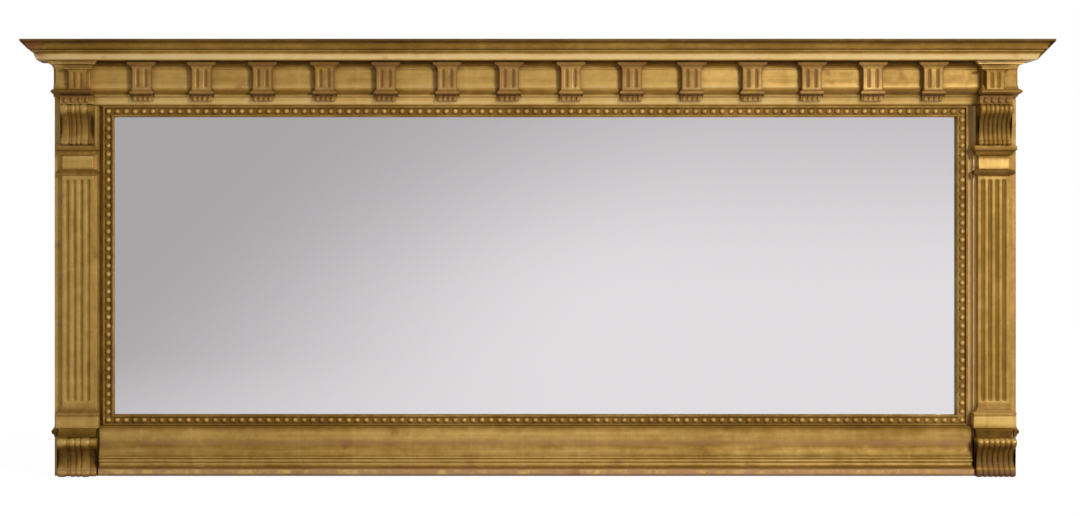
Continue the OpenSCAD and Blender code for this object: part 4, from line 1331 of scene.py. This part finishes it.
def console_outline(z0, z1, top, waist_d, foot, inset):
    """top and foot are (front depth, radius) of the two rolls."""
    upper = arc((top[0] - top[1], z1 - top[1]), top[1] - inset, 90, -50, 16)
    lower = arc((foot[0] - foot[1], z0 + foot[1]), foot[1] - inset, 60, -90, 16)
    a, b = upper[-1], lower[0]
    middle = (waist_d - inset, (a[1] + b[1]) / 2)
    pull = (a[1] - b[1]) / 3
    return (
        [(frame_t, z1 - inset)] + upper
        + bend(a, (a[0] - 3, a[1] - 3), (middle[0], middle[1] + pull), middle, 9) + [middle]
        + bend(middle, (middle[0], middle[1] - pull), (b[0] - 1, b[1] + 4), b, 9)
        + lower + [(frame_t, z0 + inset)]
    )


def console(piece, width, reeds, outline, side):
    """reeds are (share of the width, how far its crown is sunk), from the glass outwards."""
    unit = width / sum(share for share, sunk in reeds)
    across = []
    x = -width / 2
    for share, sunk in reeds:
        half = share * unit / 2
        for a in range(-90, 90, 15):
            s = math.sin(math.radians(a))
            across.append((x + half + half * s, VALLEY - (VALLEY - sunk) * math.sqrt(max(0, 1 - s * s))))
        x += 2 * half
    across.append((width / 2, VALLEY))
    grid = [[at(side * (pilaster_x + a), d, z) for d, z in outline(inset)] for a, inset in across]
    # The valleys between the reeds get a valley value, which paints them darker: painted shade, with glaze.
    piece.add(grid, valley=[[1.2 * inset / VALLEY] * len(grid[0]) for a, inset in across])


print("reeds with valleys", VALLEY, "mm deep")

# %% The four consoles
CONSOLE = span("right_upper_console")
FOOT = span("right_scroll_foot")
SHELF_Z = 546
SHELF_D = 50
SHELF_DROP_PITCH = 10.5
SHELF_DROP_R = 3.4
TOP_ROLL = (56, 7.5)
REEDS = {
    "left": [(0.64, 1.2), (0.9, 0.0), (0.55, 0.3), (0.55, 0.3), (0.30, 1.2), (1.0, 0.0)],
    "right": [(1.15, 0.0)] + [(1.0, 0.2)] * 5 + [(1.1, 0.0)],
}


def upper_outline(inset):
    return console_outline(CONSOLE.z0, SHELF_Z, TOP_ROLL, 40, (45, 5), inset)


def foot_outline(inset):
    return console_outline(FOOT.z0, FOOT.z1, TOP_ROLL, 41, (50, 6), inset)


half = (CONSOLE.x1 - CONSOLE.x0) / 2
drop_h = CONSOLE.z1 - SHELF_Z - 3.5
for name, side, finish in HANDS:
    piece = Piece(f"gilt_{name}_upper_console")
    console(piece, 2 * half, REEDS[name], upper_outline, side)
    plain_box(piece, pilaster_x - half, pilaster_x + half, frame_t, SHELF_D, SHELF_Z, CONSOLE.z1, side)
    for k in DROP_PLACES:
        x = pilaster_x + k * SHELF_DROP_PITCH
        drop(piece, x, SHELF_D + 0.5, SHELF_Z + 2, drop_h, SHELF_DROP_R, side)
    piece.finish(finish, [f"{name}_upper_console"])

    piece = Piece(f"gilt_{name}_scroll_foot")
    console(piece, FOOT.x1 - FOOT.x0, REEDS[name], foot_outline, side)
    piece.finish(finish, [f"{name}_scroll_foot"])

# %% [markdown]
# ## Capitals and bases
# Each is a profile that breaks round the front and two sides of the pilaster, so each is a collar. The
# base's lowest moulding also returns along the side of the frame, where it shows as a small half round.

# %% Abacus, neck and base
ABACUS = span("right_abacus")
ABACUS_SIDE = 0.66
NECK = span("right_neck_block")
BASE = span("right_pilaster_base")
shaft_d = SHAFT.d1
abacus_edge = soften(
    [(0.5, ABACUS.z0)]
    + quarter_back((7.5, ABACUS.z0 + 6), (0.5, ABACUS.z0 + 0.5))
    + [(9, ABACUS.z0 + 6), (9, ABACUS.z0 + 8), (12.5, ABACUS.z0 + 8), (12.5, ABACUS.z1)],
    0.6,
)
astragal_top = SHAFT.z1 + 10
astragal = soften(
    [(0, SHAFT.z1), (3.5, SHAFT.z1 + 1)] + arc((3.5, SHAFT.z1 + 5), 4, -80, 80) + [(3.5, astragal_top - 1)]
    + [(0, astragal_top)],
    0.3,
)
foot_top = BASE.z0
base_edge = soften(
    [(2.5, foot_top)]
    + quarter((3.5, foot_top + 3), (6.5, foot_top + 13))
    + [(8.3, foot_top + 13.5), (8.3, foot_top + 30.5), (7, foot_top + 30.5), (7, foot_top + 32)]
    + [(8.5, foot_top + 32), (8.5, foot_top + 36)]
    + quarter_back((0.6, BASE.z1), (7.5, foot_top + 36.5)),
    0.6,
)
side_band = [(0.5, foot_top)] + arc((0.5, foot_top + 7), 4.2, -80, 80) + [(0.5, foot_top + 14)]

for name, side, finish in HANDS:
    piece = Piece(f"gilt_{name}_abacus")
    collar(piece, abacus_edge, SHAFT.x0, SHAFT.x1, frame_t, shaft_d, side, aside=ABACUS_SIDE)
    piece.finish(finish, [f"{name}_abacus"])

    piece = Piece(f"gilt_{name}_neck_block")
    neck = [(0, astragal_top), (0, NECK.z1)]
    collar(piece, neck, SHAFT.x0 + 0.5, SHAFT.x1 - 0.5, frame_t, shaft_d + 1, side)
    collar(piece, astragal, SHAFT.x0 + 0.5, SHAFT.x1 - 0.5, frame_t, shaft_d, side)
    piece.finish(finish, [f"{name}_neck_block"])

    piece = Piece(f"gilt_{name}_pilaster_base")
    collar(piece, base_edge, SHAFT.x0, SHAFT.x1, frame_t, shaft_d, side)
    run_back(piece, side_band, body_x, side, lambda out: frame_t, foot=4)
    plain_box(piece, body_x - 4, body_x + 0.5, frame_t, frame_t + 3, foot_top, foot_top + 14, side)
    piece.finish(finish, [f"{name}_pilaster_base"])

# %% [markdown]
# ## Stiles and the rail under the glass
# The stiles are pine behind and gilded in front, with a hollow run along the inner arris beside the slip.
# Behind they are half-lapped over the rails, so the rear half is shorter. The bottom rail is the largest
# moulding on the frame: a wide shallow hollow, a bead, an ovolo and a fillet that has lost most of its gold.

# %% Stiles
rail_top, rail_foot = span("back_top_rail").z0, span("back_bottom_rail").z1
slip_x, cove_r = SLIP.x1, 7
cove_x = slip_x + 1
cove_side = cove_x + cove_r
LAP_D = 12
for name, side, finish in (("left", -1, gilt_stile_left), ("right", 1, gilt_stile_right)):
    piece = Piece(f"gilt_{name}_stile")
    outer = soften([(body_x, LAP_D), (body_x, frame_t), (cove_side, frame_t)], 0.8)
    outer += [(cove_side, LAP_D)]
    heights = along(STILE.z0, STILE.z1, 30)
    piece.add([[at(side * x, d, z) for x, d in outer] for z in heights])
    hollow = [(cove_side, LAP_D)] + arc((cove_x, frame_t), cove_r, 0, -90, 12)
    hollow += [(slip_x, frame_t - cove_r), (slip_x, PLATE.d1), (STILE.x0, PLATE.d1), (STILE.x0, LAP_D)]
    grid = [[at(side * x, d, z) for x, d in hollow] for z in along(SLIP_FOOT.z0, SLIP.z1, 30)]
    # The hollow gets a valley value, which paints it darker: painted shade, with glaze.
    piece.add(grid, valley=[[float(d < frame_t - 0.5) for x, d in hollow]] * len(grid))
    for z0, z1 in ((STILE.z0, SLIP_FOOT.z0), (SLIP.z1, STILE.z1)):
        plain_box(piece, STILE.x0, cove_side, LAP_D, frame_t, z0, z1, side, 0.01)
    plain_box(piece, STILE.x0, body_x, 0, LAP_D, rail_foot, rail_top, side)
    piece.finish(finish, [f"back_{name}_stile"])

# %% Bottom rail
RAIL = span("bottom_rail_moulding")
bead = (35, 23.6)
rail_section = (
    [(frame_t, RAIL.z0), (45.5, RAIL.z0), (45.5, 12.3), (42.5, 12.3), (42.5, 13.3)]
    + quarter_back((36, 19.5), (41.5, 13.8))
    + [(36, 20), (bead[0], 20.6)] + arc(bead, 2.6, -90, 90) + [(bead[0], 27), (36.5, 27), (36.5, 29)]
    + bend((36.5, 29), (31, 38), (29, 52), (33, RAIL.z1 - 2.5), 18)
    + [(33, RAIL.z1 - 2.5), (34, RAIL.z1 - 2), (34, RAIL.z1), (frame_t, RAIL.z1)]
)
piece = Piece("gilt_bottom_rail")
run_x(piece, soften(rail_section, 0.5, closed=True), lambda d: RAIL.x1, 4.1)
piece.finish(gilt_foot, ["bottom_rail_moulding"])

# %% [markdown]
# ## The bead slip
# A slip is a small flat moulding with a row of half-round beads in its bed, cut in four lengths and mitred.
# The section is run in code, and the beads are set out on the line of the bed by the other of the two
# trees. Each bead is a dome of fewer than a hundred faces, which is plenty at nine millimetres, and a little
# random turn, shift and size keeps the light from striking them all alike.

# %% One bead
BEAD_R = 4.3
BED_D = 22
bead_piece = Piece("bead_pattern")
dome = [(0.5, -0.6), (1.0, -0.15), (0.985, 0.17), (0.9, 0.44), (0.72, 0.69), (0.45, 0.89), (0.16, 0.985)]
grid = []
for r, h in dome:
    reach, out = r * BEAD_R * MM, h * BEAD_R * MM
    grid.append([(reach * math.cos(t), -out, reach * math.sin(t)) for t in full_turn(12)])
bead_piece.add(grid)
bead_mesh = bead_piece.mesh()
print("one bead has", len(bead_mesh.polygons), "faces")

# %% The four slips
slip_w = SLIP.z1 - SLIP.z0
sight_x = SLIP.x1 - slip_w
sight_z, sight_top = SLIP_FOOT.z1, SLIP.z0
ACROSS, UPWARDS = 96, 36
slip_section = soften(
    [
        (0, PLATE.d1), (0, BED_D + 3.4), (0.6, BED_D + 4), (2.8, BED_D + 4), (3.4, BED_D),
        (slip_w - 3.4, BED_D), (slip_w - 2.9, BED_D + 4.4), (slip_w - 0.6, BED_D + 4.4),
        (slip_w, BED_D + 3.6), (slip_w, PLATE.d1),
    ],
    0.35, closed=True,
)


def slip(name, point, start, end, count, seed):
    """point gives a place from how far along it is (-1 to 1), how far out from the glass, and the depth."""
    piece = Piece(f"gilt_{name}")
    grid = [[point(t / 40, out, d) for out, d in slip_section] for t in range(-40, 41)]
    in_bed = [BED_D - 0.1 < d < BED_D + 1.5 and 2.5 < out < slip_w - 2.5 for out, d in slip_section]
    # The slip gets a valley value, highest in the bed, which paints it darker round the beads: painted shade,
    # with glaze.
    piece.add(grid, valley=[[0.9 if sunk else 0.75 for sunk in in_bed]] * len(grid))
    base = set_out(
        placed(piece.name, piece.mesh()), line_tree, bead_mesh, gilt_beads, Count=count, Start=start, End=end,
        Turn=(0.0, 1.5, 0.0), Scatter=(0.00012, 0.0, 0.00012), Smallest=0.93, Seed=seed,
    )
    hang(base, [name])


bead_x, bead_z0, bead_z1 = sight_x + slip_w / 2, sight_z - slip_w / 2, sight_top + slip_w / 2
step_z = (bead_z1 - bead_z0) / UPWARDS
for name, edge_z, way, seed, row_z in (
    ("slip_top", sight_top, 1, 11, bead_z1), ("slip_bottom", sight_z, -1, 12, bead_z0)
):
    slip(
        name, lambda t, out, d: at(t * (sight_x + out), d, edge_z + way * out),
        at(-bead_x, BED_D, row_z), at(bead_x, BED_D, row_z), ACROSS + 1, seed,
    )
middle = (sight_z + sight_top) / 2
for name, way, seed in (("slip_left", -1, 13), ("slip_right", 1, 14)):
    row_x = way * bead_x
    slip(
        name, lambda t, out, d: at(way * (sight_x + out), d, middle + t * (sight_top - middle + out)),
        at(row_x, BED_D, bead_z0 + step_z), at(row_x, BED_D, bead_z1 - step_z), UPWARDS - 1, seed,
    )

# %% [markdown]
# ## The back
# Behind the glass are two boards screwed into the rebate, and a strap hanger with a ring on each stile. The
# boards, rails, straps and blocks keep their own shapes and get their finishes. The rings are bent wire, so
# each is a round section carried round a closed path. The screws are slotted patterns of two sizes, set out
# on points and turned at random, as a screwdriver leaves them.

# %% Finishes of the pieces that keep their shape
COATS = {
    "frieze_board": gilt_runs,
    "back_top_rail": pine_across, "back_bottom_rail": pine_across,
    "cornice_top_board": pine_across, "glue_blocks": pine_across,
    "backboard_upper": back_board, "backboard_lower": back_board,
    "mirror_plate": mirror_silver,
    "hanger_straps": hanger_steel,
}
for node, material in COATS.items():
    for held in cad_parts[node].material_slots:
        held.material = material
print("finishes on", len(COATS), "pieces of the construction")

# %% Hanger rings
BAR_R = 2
WIRE_R = 1.97
CORNER_R = 2.4
RING_DROP = 8


def ring_path(middle_x, half):
    """The closed middle line of a ring: a bar, two rounded corners, two sides and a half circle."""
    line = arc((CORNER_R - half, -CORNER_R), CORNER_R, 180, 90, 6)
    line += arc((half - CORNER_R, -CORNER_R), CORNER_R, 90, 0, 6)
    line += arc((0, -RING_DROP), half, 0, -180, 24)
    return [(middle_x + x, z) for x, z in line]


for name in ("left", "right"):
    box = span(f"{name}_hanger_ring")
    middle_x, hinge_z, ring_d = (box.x0 + box.x1) / 2, box.z1 - BAR_R, (box.d0 + box.d1) / 2
    path_points = ring_path(middle_x, (box.x1 - box.x0) / 2 - BAR_R)
    count = len(path_points)
    grid = []
    for i, (x, z) in enumerate(path_points):
        ahead, behind = path_points[(i + 1) % count], path_points[i - 1]
        run = Vector((ahead[0] - behind[0], ahead[1] - behind[1])).normalized()
        row = []
        for t in full_turn(16):
            out, aside = WIRE_R * math.cos(t), WIRE_R * math.sin(t)
            row.append(at(x + out * run.y, ring_d + aside, hinge_z + z - out * run.x))
        grid.append(row)
    piece = Piece(f"{name}_ring")
    piece.add(grid, loop=True)
    piece.finish(hanger_steel, [f"{name}_hanger_ring"], f"{name}_ring", "hanger_steel")

# %% Slotted screws
SLOT_HALF = 0.16
SLOT_FLOOR = 0.35
RIM = 0.05
HEAD = (
    (1.0, 0.0), (0.98, 0.3), (0.85, 0.62), (0.6, 0.86), (0.3, 0.97), (0.165, 0.985), (0.15, 1.0), (0.02, 1.0),
)


def slotted_ring(radius, slot_half):
    """The turns of one ring of a screw head, close together at the slot's edges, each with whether it lies
    in the slot. A ring that is smaller than the slot lies in it all round."""
    reach = min(1.3, math.asin(min(1.0, slot_half / radius)))
    lip = 0.02
    made = []
    for middle in (0, math.pi):
        made += [(middle + turn, True) for turn in (lip - reach, 0.0, reach - lip)]
        free = math.pi - 2 * reach - 2 * lip
        made += [(middle + reach + lip + free * k / 6, radius < slot_half) for k in range(7)]
    return made


def screw_mesh(name, head_r, dome_h, length, shank_r):
    """A round head with a slot, and a plain shank behind it. It points forwards, its head at the back."""
    piece = Piece(name)
    grid = []
    for s, h in HEAD:
        row = []
        for t, in_slot in slotted_ring(s * head_r, SLOT_HALF * head_r):
            height = max(RIM, min(h, SLOT_FLOOR) if in_slot else h)
            row.append((s * head_r * math.cos(t) * MM, height * dome_h * MM, s * head_r * math.sin(t) * MM))
        grid.append(row)
    piece.add(grid)
    shank = [(shank_r, 0.0), (shank_r, -length * 0.8), (shank_r * 0.1, -length)]
    turns = full_turn(24)
    piece.add([[(s * math.cos(t) * MM, y * MM, s * math.sin(t) * MM) for t in turns] for s, y in shank])
    return piece.mesh()


def screws(name, node, places, pattern_mesh, seed):
    """One screw at each place, turned as it came."""
    row = set_out(
        blank(name, places), point_tree, pattern_mesh, screw_steel, Turn=(0.0, 3.1, 0.0), Seed=seed, **STILL
    )
    hang(row, [node])


# %% The screws of the boards and the straps
BOARD = span("backboard_lower")
UPPER_BOARD = span("backboard_upper")
SCREW_IN = 5.0
SCREW_PITCH = 300
SIDE_SCREW_IN = 50
STRAP_SCREWS = (30, 45)
BEHIND_BOARD, BEHIND_STRAP = 1, -1.5

screw_xs = [SCREW_PITCH * k for k in (-2, -1, 0, 1, 2)]
screw_zs = (BOARD.z0 + SCREW_IN, UPPER_BOARD.z1 - SCREW_IN)
side_zs = (sight_z + SIDE_SCREW_IN, sight_top - SIDE_SCREW_IN)
places = [at(x, BEHIND_BOARD, z) for x in screw_xs for z in screw_zs]
places += [at(way * (BOARD.x1 - SCREW_IN), BEHIND_BOARD, z) for way in (-1, 1) for z in side_zs]
pattern_mesh = screw_mesh("board_screw", head_r=2.4, dome_h=0.9, length=12.8, shank_r=1.4)
screws("board_screws", "backboard_screws", places, pattern_mesh, 21)

RING = span("right_hanger_ring")
hinge_z = RING.z1 - BAR_R
strap_x = (RING.x0 + RING.x1) / 2
places = [at(way * strap_x, BEHIND_STRAP, hinge_z - down) for way in (-1, 1) for down in STRAP_SCREWS]
pattern_mesh = screw_mesh("strap_screw", head_r=3.0, dome_h=1.05, length=16.8, shank_r=1.6)
screws("strap_screws", "hanger_screws", places, pattern_mesh, 22)
